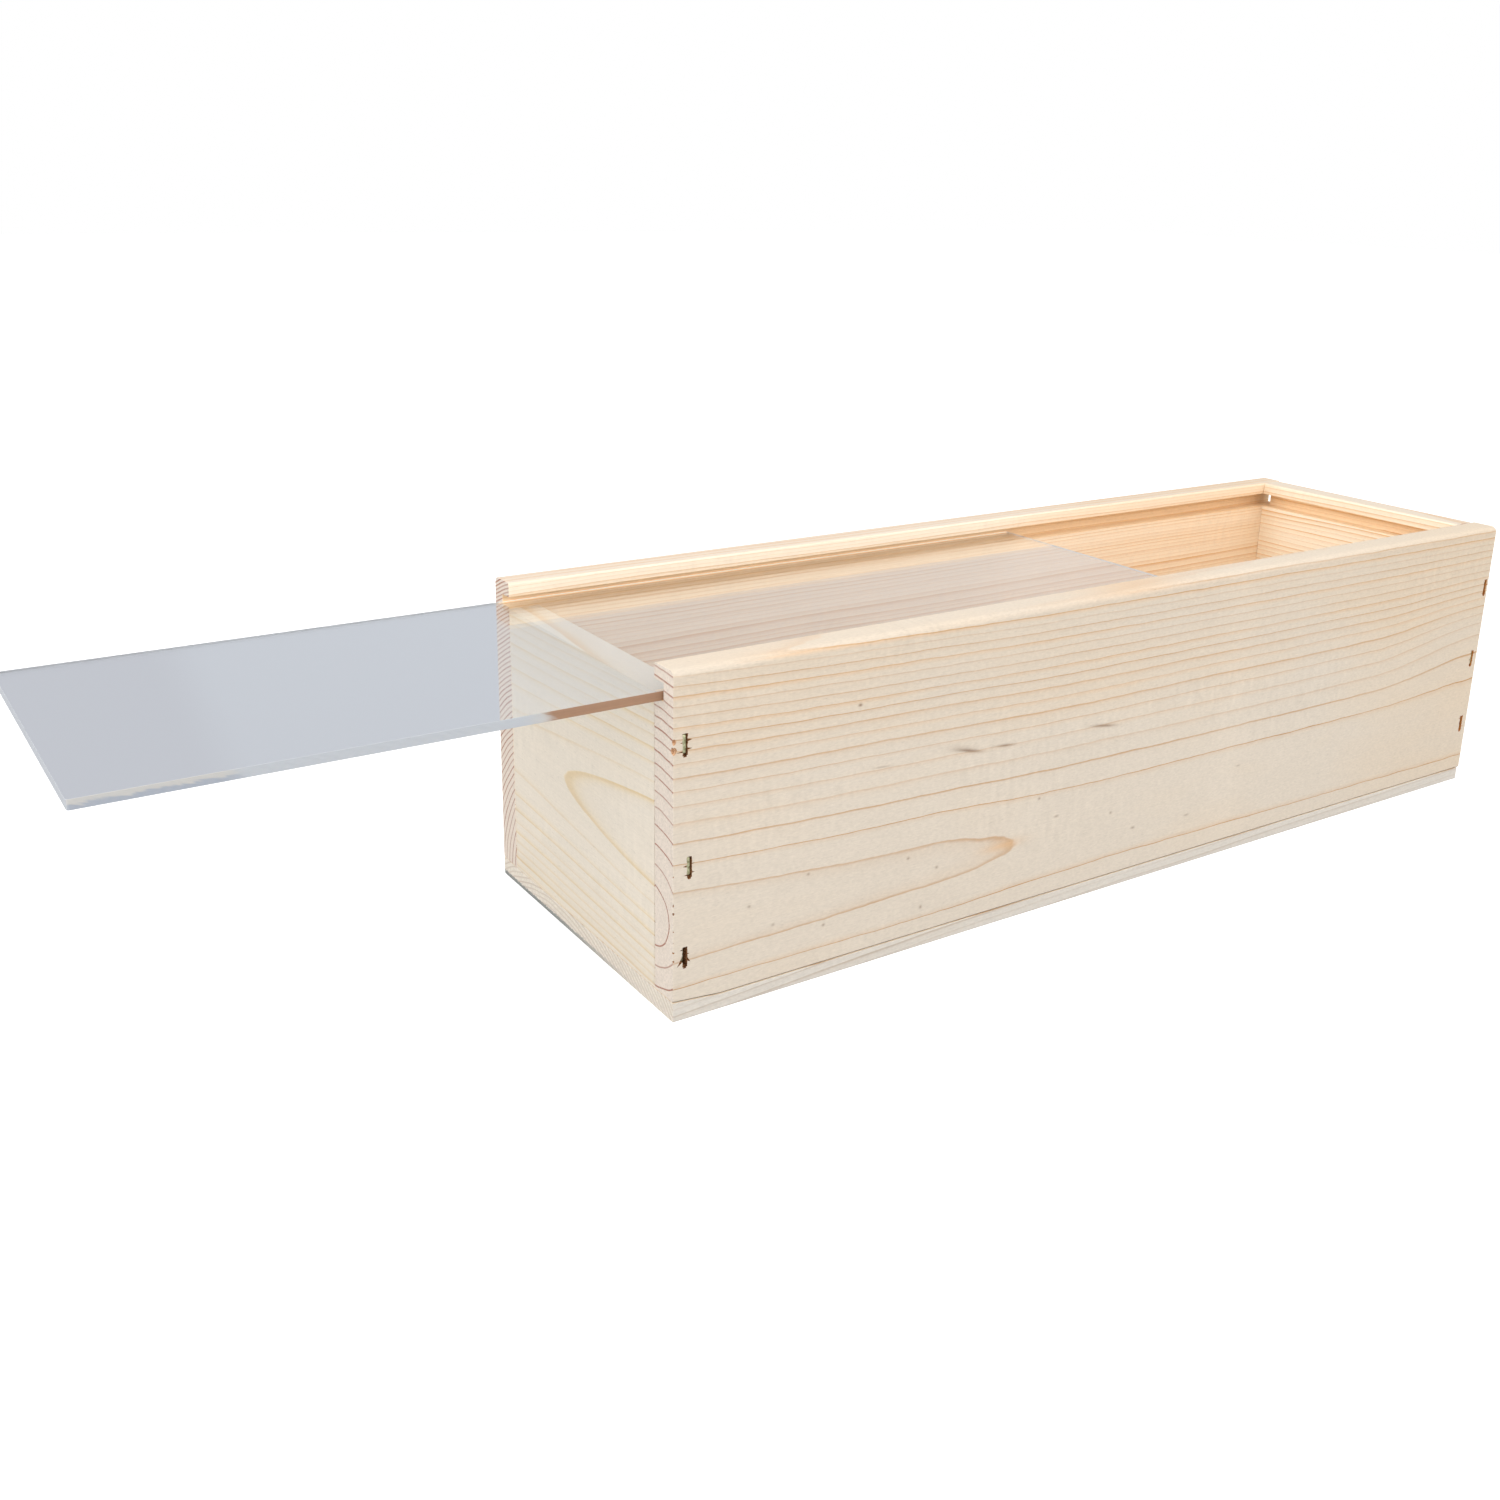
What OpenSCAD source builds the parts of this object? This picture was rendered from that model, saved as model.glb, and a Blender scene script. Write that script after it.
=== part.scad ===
// Pine box with a clear lid that slides in grooves, drawn with the lid pulled part way out.
// Origin: middle of the underside. X runs along the length with the open end at -X.
// Y runs across, with the side that faces the viewer at -Y. Z is up.

/* [Box] */
// Overall length of the side boards
box_l = 352; // [300:1:420]
// Overall width over both side boards
box_w = 110; // [92:1:132]
// Overall height from the table to the top edges
box_h = 100; // [82:1:130]
// Thickness of the four upright boards
wall_t = 10; // [8.5:0.1:12]
// Thickness of the bottom board
bottom_t = 4.5; // [3.5:0.1:7]
// Length by which the bottom board stops short of the back
bottom_short = 1; // [0:0.1:3]
// Extra thickness of the bottom board at the open end
toe_rise = 1.4; // [0.2:0.1:2]
// Length over which that extra thickness tapers away
toe_run = 15; // [8:1:30]

/* [Lid groove] */
// Height of the wooden lip above the groove
lip_h = 4.6; // [3.5:0.1:6]
// Height of the groove
groove_h = 4.9; // [4:0.1:6]
// Depth of the groove into each board
groove_d = 4.8; // [4:0.1:5.5]
// Drop of the low end board's top edge below the groove
front_drop = 0.5; // [0.2:0.1:3]

/* [Lid] */
// Thickness of the clear sheet
lid_t = 2.5; // [2:0.1:3.5]
// Distance that the lid is pulled out of the box
lid_out = 142; // [0:1:200]
// Play between the lid and the groove floor, on each side
lid_side_play = 0.4; // [0.3:0.05:1]
// Play between the lid and the back groove when shut
lid_end_play = 0.8; // [0.4:0.1:2]
// Height at which the sheet rides above the groove's lower face
lid_ride = 0.2; // [0.1:0.05:0.5]
// Size of the sheet's broken corners, seen from above
lid_corner = 0.6; // [0.2:0.1:2]

/* [Eased edges] */
// Radius on the outer top edges of the boards
outer_ease = 2.2; // [0.5:0.1:3]
// Radius on the inner top edges of the boards
inner_ease = 0.9; // [0.3:0.1:2]

/* [Staples] */
// Width of a staple over both legs
crown_w = 5.8; // [4.5:0.1:8]
// Width of the staple wire across the crown
wire_w = 1.25; // [0.9:0.05:1.4]
// Thickness of the staple wire along the leg direction
wire_t = 1.05; // [0.8:0.05:1.2]
// Length of the staple legs
leg_l = 22; // [18:1:22]
// Outer radius of the bend between crown and leg
bend_r = 0.9; // [0.3:0.1:1]
// Clearance round the crown in its driven slot
slot_play = 0.3; // [0.1:0.05:0.5]
// Staples in each long edge of the bottom
long_row = 4; // [2:1:6]

/* [Hidden] */
$fn = 48;
eps = 0.01;

half_l = box_l / 2;
half_w = box_w / 2;
inside_w = box_w - 2 * wall_t;
groove_top = box_h - lip_h;
groove_floor = groove_top - groove_h;
front_top = groove_floor - front_drop;
lid_w = inside_w + 2 * groove_d - 2 * lid_side_play;
lid_l = box_l - wall_t + groove_d - lid_end_play;

// Each side staple: inset from the board's end, height as a share of the box, depth driven in
near_front_set = [[3.6, 0.797, 0.5], [5.0, 0.450, 0.6], [3.7, 0.189, 1.9]];
near_back_set = [[1.9, 0.771, 0.7], [3.2, 0.495, 0.4], [3.4, 0.233, 0.9]];
far_front_set = [[4.2, 0.790, 0.6], [3.8, 0.470, 0.5], [4.6, 0.205, 0.8]];
far_back_set = [[3.4, 0.780, 0.5], [4.4, 0.480, 0.9], [3.9, 0.220, 0.6]];

// Each row under the bottom: positions as [x, y]
bottom_sink = 0.4;
edge_inset = wall_t / 2;
row_span = box_l * 0.82;
near_row = [for (i = [0:long_row - 1]) [row_span * (i / (long_row - 1) - 0.5), edge_inset - half_w]];
far_row = [for (p = near_row) [p[0], -p[1]]];
front_row = [for (s = [-1, 1]) [edge_inset - half_l, s * box_w * 0.2]];
back_row = [for (s = [-1, 1]) [half_l - edge_inset, s * box_w * 0.2]];

pine_side = [0.87, 0.79, 0.69];
pine_end = [0.89, 0.84, 0.76];
pine_bottom = [0.82, 0.76, 0.67];
clear_sheet = [0.78, 0.81, 0.86, 0.45];
staple_wire = [0.55, 0.53, 0.42];

// What an eased edge takes off a square corner at the origin, with the wood at +x and +y
module ease_cut(r) {
    difference() {
        translate([-eps, -eps])
            square(r + eps);
        translate([r, r])
            circle(r);
    }
}

// Upright board seen from its end: outer face at x = 0, foot at y = 0
module board_profile(height) {
    difference() {
        square([wall_t, height]);
        translate([0, height])
            mirror([0, 1])
                ease_cut(outer_ease);
        translate([wall_t, height])
            rotate(180)
                ease_cut(inner_ease);
    }
}

// Groove cut into the inner face of a board profile
module groove_profile(height) {
    translate([wall_t - groove_d, height - lip_h - groove_h])
        square([groove_d + 1, groove_h]);
}

// Wedge that the bottom board gains towards the open end, over a chosen width
module toe_wedge(width) {
    translate([0, width / 2, 0])
        rotate([90, 0, 0])
            linear_extrude(width)
                polygon([
                    [-half_l, bottom_t - eps],
                    [toe_run - half_l, bottom_t - eps],
                    [toe_run - half_l, bottom_t],
                    [-half_l, bottom_t + toe_rise],
                ]);
}

// The same wedge as a cutter for the boards that stand on it
module toe_cutter() {
    translate([0, half_w + 1, 0])
        rotate([90, 0, 0])
            linear_extrude(box_w + 2)
                polygon([
                    [-half_l - 1, bottom_t - 1],
                    [toe_run - half_l, bottom_t - 1],
                    [toe_run - half_l, bottom_t],
                    [-half_l, bottom_t + toe_rise],
                    [-half_l - 1, bottom_t + toe_rise],
                ]);
}

// Staple with its crown along x and its legs along z, driven in from the surface z = 0
module staple(sink) {
    translate([0, wire_w / 2, sink])
        rotate([90, 0, 0])
            linear_extrude(wire_w)
                difference() {
                    translate([-crown_w / 2, 0])
                        square([crown_w, leg_l]);
                    for (s = [0, 1])
                        mirror([s, 0])
                            translate([-crown_w / 2, 0])
                                ease_cut(bend_r);
                    translate([wire_t - crown_w / 2, wire_t])
                        square([crown_w - 2 * wire_t, leg_l]);
                }
}

// Slot and leg holes that the staple leaves in the wood
module staple_hole(sink) {
    translate([-crown_w / 2 - slot_play, -wire_w / 2 - slot_play, -1])
        cube([crown_w + 2 * slot_play, wire_w + 2 * slot_play, sink + wire_t + 1]);
    for (s = [-1, 1])
        translate([s * (crown_w - wire_t) / 2 - wire_t / 2, -wire_w / 2, sink])
            cube([wire_t, wire_w, leg_l]);
}

// Puts children on the near face at each staple of a set, at the end given by dir
module on_near_face(set, dir) {
    for (s = set)
        translate([dir * (half_l - s[0]), -half_w, s[1] * box_h])
            rotate([-90, -90, 0]) {
                $sink = s[2];
                children();
            }
}

// Puts children under the bottom at each place of a row, crown along x or y
module under_bottom(row, turn) {
    $sink = bottom_sink;
    for (p = row)
        translate([p[0], p[1], 0])
            rotate([0, 0, turn])
                children();
}

module near_face_holes() {
    on_near_face(near_front_set, -1)
        staple_hole($sink);
    on_near_face(near_back_set, 1)
        staple_hole($sink);
}

module far_face_holes() {
    mirror([0, 1, 0]) {
        on_near_face(far_front_set, -1)
            staple_hole($sink);
        on_near_face(far_back_set, 1)
            staple_hole($sink);
    }
}

module bottom_holes() {
    under_bottom(near_row, 0)
        staple_hole($sink);
    under_bottom(far_row, 0)
        staple_hole($sink);
    under_bottom(front_row, 90)
        staple_hole($sink);
    under_bottom(back_row, 90)
        staple_hole($sink);
}

// Grooved side board along the near side, full length
module side_board_blank() {
    translate([-half_l, -half_w, bottom_t])
        rotate([90, 0, 90])
            linear_extrude(box_l)
                difference() {
                    board_profile(box_h - bottom_t);
                    groove_profile(box_h - bottom_t);
                }
}

module near_side_board() {
    color(pine_side)
        difference() {
            side_board_blank();
            toe_cutter();
            near_face_holes();
            bottom_holes();
        }
}

module far_side_board() {
    color(pine_side)
        difference() {
            mirror([0, 1, 0])
                side_board_blank();
            toe_cutter();
            far_face_holes();
            bottom_holes();
        }
}

// Low board that closes the open end under the lid
module front_end_board() {
    color(pine_end)
        difference() {
            translate([-half_l, -inside_w / 2, bottom_t])
                cube([wall_t, inside_w, front_top - bottom_t]);
            toe_cutter();
            near_face_holes();
            far_face_holes();
            bottom_holes();
        }
}

// Full-height board at the back, grooved across its inner face
module back_end_board() {
    color(pine_end)
        difference() {
            translate([half_l, -inside_w / 2, bottom_t])
                rotate([90, 0, 180])
                    linear_extrude(inside_w)
                        difference() {
                            board_profile(box_h - bottom_t);
                            groove_profile(box_h - bottom_t);
                        }
            near_face_holes();
            far_face_holes();
            bottom_holes();
        }
}

module bottom_board() {
    color(pine_bottom)
        difference() {
            union() {
                translate([-half_l, -half_w, 0])
                    cube([box_l - bottom_short, box_w, bottom_t]);
                toe_wedge(box_w);
            }
            bottom_holes();
        }
}

module sliding_lid() {
    color(clear_sheet)
        translate([-half_l - lid_out, -lid_w / 2, groove_floor + lid_ride])
            linear_extrude(lid_t)
                polygon([
                    [lid_corner, 0],
                    [lid_l - lid_corner, 0],
                    [lid_l, lid_corner],
                    [lid_l, lid_w - lid_corner],
                    [lid_l - lid_corner, lid_w],
                    [lid_corner, lid_w],
                    [0, lid_w - lid_corner],
                    [0, lid_corner],
                ]);
}

module near_front_staples() {
    color(staple_wire)
        on_near_face(near_front_set, -1)
            staple($sink);
}

module near_back_staples() {
    color(staple_wire)
        on_near_face(near_back_set, 1)
            staple($sink);
}

module far_front_staples() {
    color(staple_wire)
        mirror([0, 1, 0])
            on_near_face(far_front_set, -1)
                staple($sink);
}

module far_back_staples() {
    color(staple_wire)
        mirror([0, 1, 0])
            on_near_face(far_back_set, 1)
                staple($sink);
}

module near_bottom_staples() {
    color(staple_wire)
        under_bottom(near_row, 0)
            staple($sink);
}

module far_bottom_staples() {
    color(staple_wire)
        under_bottom(far_row, 0)
            staple($sink);
}

module front_bottom_staples() {
    color(staple_wire)
        under_bottom(front_row, 90)
            staple($sink);
}

module back_bottom_staples() {
    color(staple_wire)
        under_bottom(back_row, 90)
            staple($sink);
}

near_side_board();
far_side_board();
front_end_board();
back_end_board();
bottom_board();
sliding_lid();
near_front_staples();
near_back_staples();
far_front_staples();
far_back_staples();
near_bottom_staples();
far_bottom_staples();
front_bottom_staples();
back_bottom_staples();
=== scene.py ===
"""Pine box with a clear lid that slides in grooves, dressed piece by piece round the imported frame.

Fields hold millimetres in the frame's own axes: X along the box with the open end at -X, Y across it
with the side that faces the camera at -Y, Z up from the table. Meshes are made in metres.
"""

import logging
import math
import random
from contextlib import contextmanager
from dataclasses import dataclass, field
from enum import Enum
from typing import Callable, Iterable, Iterator, Optional, Sequence, Union

import bmesh
import bpy
from mathutils import Matrix, Vector


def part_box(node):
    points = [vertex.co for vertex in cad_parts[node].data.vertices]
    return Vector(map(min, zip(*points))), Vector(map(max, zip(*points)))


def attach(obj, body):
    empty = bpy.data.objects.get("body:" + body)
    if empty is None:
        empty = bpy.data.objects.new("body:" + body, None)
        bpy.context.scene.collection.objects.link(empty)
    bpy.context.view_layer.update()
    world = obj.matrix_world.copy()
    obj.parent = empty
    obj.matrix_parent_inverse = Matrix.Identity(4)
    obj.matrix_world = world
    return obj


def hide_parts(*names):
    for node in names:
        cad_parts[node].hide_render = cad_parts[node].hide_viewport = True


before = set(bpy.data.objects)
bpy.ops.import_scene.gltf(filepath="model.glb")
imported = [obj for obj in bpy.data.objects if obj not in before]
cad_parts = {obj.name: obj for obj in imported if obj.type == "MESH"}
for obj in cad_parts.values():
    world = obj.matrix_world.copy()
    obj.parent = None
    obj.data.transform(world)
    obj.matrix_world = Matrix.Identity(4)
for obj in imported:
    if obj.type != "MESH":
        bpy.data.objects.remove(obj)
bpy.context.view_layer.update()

MM = 0.001

Corner = tuple[float, float, float]
Paint = tuple[float, ...]

log = logging.getLogger("pine_box")


def paint(red: int, green: int, blue: int) -> Paint:
    """Turns a colour as seen on a screen into the linear colour that a shader works with.

    Args:
        red: Red from 0 to 255.
        green: Green from 0 to 255.
        blue: Blue from 0 to 255.

    Returns:
        Linear red, green, blue and an alpha of 1.
    """
    linear = []
    for part in (red, green, blue):
        share = part / 255
        linear.append(share / 12.92 if share <= 0.04045 else ((share + 0.055) / 1.055) ** 2.4)
    return (linear[0], linear[1], linear[2], 1.0)


WHITE = (1.0, 1.0, 1.0, 1.0)
BLACK = (0.0, 0.0, 0.0, 1.0)
PALE_END = paint(216, 204, 191)
RING_END = paint(158, 108, 88)
# Late wood of the inner faces, lighter and warmer: painted bounce light inside the box.
LIT_INNER_LATE = paint(222, 168, 98)
PLASTIC_INDEX = 1.49


# ---- Shader building ----


class Value:
    """A number socket that stands in a Python expression."""

    def __init__(self, graph: "Graph", socket: bpy.types.NodeSocket) -> None:
        """Wraps a socket of a graph."""
        self.graph = graph
        self.socket = socket

    def __add__(self, other: "Number") -> "Value":
        """Adds a number or value."""
        return self.graph.math("ADD", self, other)

    def __radd__(self, other: "Number") -> "Value":
        """Adds to a number."""
        return self.graph.math("ADD", other, self)

    def __sub__(self, other: "Number") -> "Value":
        """Takes a number or value away."""
        return self.graph.math("SUBTRACT", self, other)

    def __rsub__(self, other: "Number") -> "Value":
        """Is taken away from a number."""
        return self.graph.math("SUBTRACT", other, self)

    def __mul__(self, other: "Number") -> "Value":
        """Multiplies by a number or value."""
        return self.graph.math("MULTIPLY", self, other)

    def __rmul__(self, other: "Number") -> "Value":
        """Multiplies a number."""
        return self.graph.math("MULTIPLY", other, self)

    def __truediv__(self, other: "Number") -> "Value":
        """Divides by a number or value."""
        return self.graph.math("DIVIDE", self, other)

    def __rtruediv__(self, other: "Number") -> "Value":
        """Divides a number."""
        return self.graph.math("DIVIDE", other, self)

    def __abs__(self) -> "Value":
        """Drops the sign."""
        return self.graph.math("ABSOLUTE", self)


Number = Union[float, Value]
Feed = Union[float, Sequence[float], Value, bpy.types.NodeSocket]


class Graph:
    """The node tree of a material or of the world, filled by expressions."""

    COLUMN = 10
    STEP = (190, -170)
    NOISE_ROUGHNESS = 0.55

    def __init__(self, tree: bpy.types.NodeTree) -> None:
        """Starts on an emptied tree."""
        self.tree = tree
        tree.nodes.clear()

    def node(
        self, kind: str, settings: Optional[dict] = None, feeds: Optional[dict] = None
    ) -> bpy.types.Node:
        """Adds one node.

        Args:
            kind: The node's type name.
            settings: Its settings by name, set first.
            feeds: What goes into its sockets, by socket name or number.

        Returns:
            The new node.
        """
        made = self.tree.nodes.new(kind)
        index = len(self.tree.nodes) - 1
        made.location = (index // self.COLUMN * self.STEP[0], index % self.COLUMN * self.STEP[1])
        for name, setting in (settings or {}).items():
            setattr(made, name, setting)
        for key, feed in (feeds or {}).items():
            self.feed(made.inputs[key], feed)
        return made

    def feed(self, socket: bpy.types.NodeSocket, feed: Feed) -> None:
        """Links or sets one input socket.

        Args:
            socket: The input.
            feed: A value, another node's output socket, or a constant.
        """
        if isinstance(feed, Value):
            self.tree.links.new(feed.socket, socket)
        elif isinstance(feed, bpy.types.NodeSocket):
            self.tree.links.new(feed, socket)
        else:
            socket.default_value = feed

    def math(self, operation: str, *operands: Number) -> Value:
        """Adds a Math node and returns its result."""
        made = self.node("ShaderNodeMath", {"operation": operation}, dict(enumerate(operands)))
        return Value(self, made.outputs[0])

    def smooth(self, value: Number, low: Number, high: Number) -> Value:
        """Rises smoothly from 0 where value is low to 1 where it is high."""
        feeds = {"Value": value, "From Min": low, "From Max": high}
        made = self.node("ShaderNodeMapRange", {"interpolation_type": "SMOOTHSTEP"}, feeds)
        return Value(self, made.outputs["Result"])

    def fall(self, value: Number, low: Number, high: Number) -> Value:
        """Falls smoothly from 1 where value is low to 0 where it is high."""
        return 1.0 - self.smooth(value, low, high)

    def hill(self, value: Value, centre: float, spread: float) -> Value:
        """A bell curve that is 1 at centre and falls away over spread."""
        offset = (value - centre) * (1 / spread)
        return self.math("EXPONENT", offset * offset * -1.0)

    def clamp(self, value: Value) -> Value:
        """Holds a value between 0 and 1."""
        return Value(self, self.node("ShaderNodeClamp", {}, {"Value": value}).outputs[0])

    def mix(self, share: Number, first: Feed, second: Feed) -> bpy.types.NodeSocket:
        """Mixes two colours, with share saying how much of the second, from 0 to 1."""
        made = self.node("ShaderNodeMix", {"data_type": "RGBA", "blend_type": "MIX", "clamp_factor": True})
        for socket, feed in ((made.inputs[0], share), (made.inputs[6], first), (made.inputs[7], second)):
            self.feed(socket, feed)
        return made.outputs[2]

    def scale(self, vector: Feed, factor: Number) -> bpy.types.NodeSocket:
        """Scales a vector, or a colour's brightness."""
        made = self.node("ShaderNodeVectorMath", {"operation": "SCALE"}, {0: vector, "Scale": factor})
        return made.outputs[0]

    def noise(
        self, place: Iterable[Value], per_mm: Sequence[float], detail: float = 1.0, seed: float = 0.0
    ) -> Value:
        """Cloudy noise about one half.

        Args:
            place: Where the pattern is read, on two or three axes.
            per_mm: Patches per millimetre on each axis.
            detail: How many finer layers it has.
            seed: Moves the pattern on the third axis.

        Returns:
            The noise, from 0 to 1.
        """
        parts: list[Number] = [part * patches for part, patches in zip(place, per_mm)]
        if len(parts) == 2:
            parts.append(seed)
        elif seed:
            parts[2] = parts[2] + seed
        spot = self.node("ShaderNodeCombineXYZ", {}, dict(enumerate(parts))).outputs[0]
        feeds = {"Vector": spot, "Scale": 1.0, "Detail": detail, "Roughness": self.NOISE_ROUGHNESS}
        return Value(self, self.node("ShaderNodeTexNoise", {}, feeds).outputs[0])

    def chance(self, cell: Value, seed: float) -> Value:
        """A fixed random number from 0 to 1 for each whole number of cell."""
        made = self.node("ShaderNodeTexWhiteNoise", {"noise_dimensions": "1D"}, {"W": cell + seed})
        return Value(self, made.outputs["Value"])

    def axes(self, vector: bpy.types.NodeSocket) -> dict[str, Value]:
        """Takes a vector apart, by axis letter."""
        parts = self.node("ShaderNodeSeparateXYZ", {}, {0: vector}).outputs
        return {axis: Value(self, parts[i]) for i, axis in enumerate("xyz")}

    def place(self) -> dict[str, Value]:
        """Object coordinates in millimetres, by axis letter."""
        return self.axes(self.scale(self.node("ShaderNodeTexCoord").outputs["Object"], 1 / MM))

    def facing(self) -> dict[str, Value]:
        """The surface's own direction before any bump, by axis letter."""
        return self.axes(self.node("ShaderNodeNewGeometry").outputs["True Normal"])

    def rays(self) -> tuple[Value, Value]:
        """Whether a ray comes from the camera, and whether it comes by way of gloss or the clear lid."""
        told = self.node("ShaderNodeLightPath").outputs
        shiny = Value(self, told["Is Glossy Ray"]) + Value(self, told["Is Transmission Ray"])
        direct = self.fall(Value(self, told["Diffuse Depth"]), 0.2, 0.8)
        return Value(self, told["Is Camera Ray"]), self.clamp(shiny) * direct

    def bump(self, height: Value, depth: float, strength: float) -> bpy.types.NodeSocket:
        """Turns a height from 0 to 1 into a bumped normal that is depth millimetres deep."""
        feeds = {"Strength": strength, "Distance": depth * MM, "Height": height}
        return self.node("ShaderNodeBump", {}, feeds).outputs[0]

    def shader(self, kind: str, feeds: dict) -> bpy.types.NodeSocket:
        """Adds a shader node and returns its output."""
        return self.node(kind, {}, feeds).outputs[0]


# ---- Finishes ----


@dataclass(frozen=True)
class Finish:
    """A look that is built into a material."""

    name: str

    def material(self) -> bpy.types.Material:
        """Builds the material.

        Returns:
            The finished material.
        """
        made = bpy.data.materials.new(self.name)
        made.use_nodes = True
        graph = Graph(made.node_tree)
        graph.node("ShaderNodeOutputMaterial", {}, {0: self.surface(graph)})
        return made

    def surface(self, graph: Graph) -> bpy.types.NodeSocket:
        """Builds the finish's shader in a graph and returns its output."""
        raise NotImplementedError


class Grain(Enum):
    """Which way a board's fibres run: the axes along the grain, through the board and across it."""

    LENGTHWISE = ("x", "y", "z")
    CROSSWISE = ("y", "x", "z")
    FLAT = ("x", "z", "y")


@dataclass(frozen=True)
class Pith:
    """Where the heart of the tree ran past a board, and how it drifts along the grain.

    The heart's place through and across the board is a base, plus a part that fades along the grain
    from fade_from, plus a step between two places, plus a tilt and a bow measured from bow_from.
    """

    through: float
    across: float
    through_fade: float = 0.0
    through_reach: float = 100.0
    across_fade: float = 0.0
    across_reach: float = 100.0
    fade_from: float = 0.0
    step: float = 0.0
    step_from: float = 0.0
    step_to: float = 1.0
    tilt: float = 0.0
    bow: float = 0.0
    bow_from: float = 0.0


@dataclass(frozen=True)
class Rings:
    """How a tree's yearly rings follow each other outwards from the heart."""

    spacing: float
    phase: float
    crowding: float = 0.0
    crowd_from: float = 0.0
    late_width: float = 0.45
    haze: float = 0.2
    first_year: float = -100.0
    clear_until: float = -100.0
    wander: float = 0.9
    ripple: float = 0.10
    seed: float = 0.0


@dataclass(frozen=True)
class Swirl:
    """A rise of the grain beside a knot that was cut away past a board's end."""

    rise: float
    start: float
    end: float
    centre: float
    spread: float


@dataclass(frozen=True)
class Fleck:
    """A small mark on a board's face, with its place along and across the grain."""

    along: float
    across: float
    reach: float
    spread: float
    lean: float
    depth: float

    def strength(self, graph: Graph, along: Value, across: Value) -> Value:
        """How strongly the fleck colours a point, from 0 to its depth."""
        turn = math.radians(self.lean)
        right = along - self.along
        up = across - self.across
        run = (right * math.cos(turn) + up * math.sin(turn)) * (1 / self.reach)
        rise = (up * math.cos(turn) - right * math.sin(turn)) * (1 / self.spread)
        return graph.math("EXPONENT", (run * run + rise * rise) * -1.0) * self.depth


@dataclass
class Spot:
    """What is known of a point of the wood while its colour is worked out."""

    graph: Graph
    place: dict[str, Value]
    facing: dict[str, Value]
    along: Value
    through: Value
    across: Value
    year: Value
    gap: Value

    def noise(self, per_mm: Sequence[float], detail: float = 1.0) -> Value:
        """Noise with its patches per millimetre along, through and across the grain."""
        return self.graph.noise((self.along, self.through, self.across), per_mm, detail)


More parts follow.
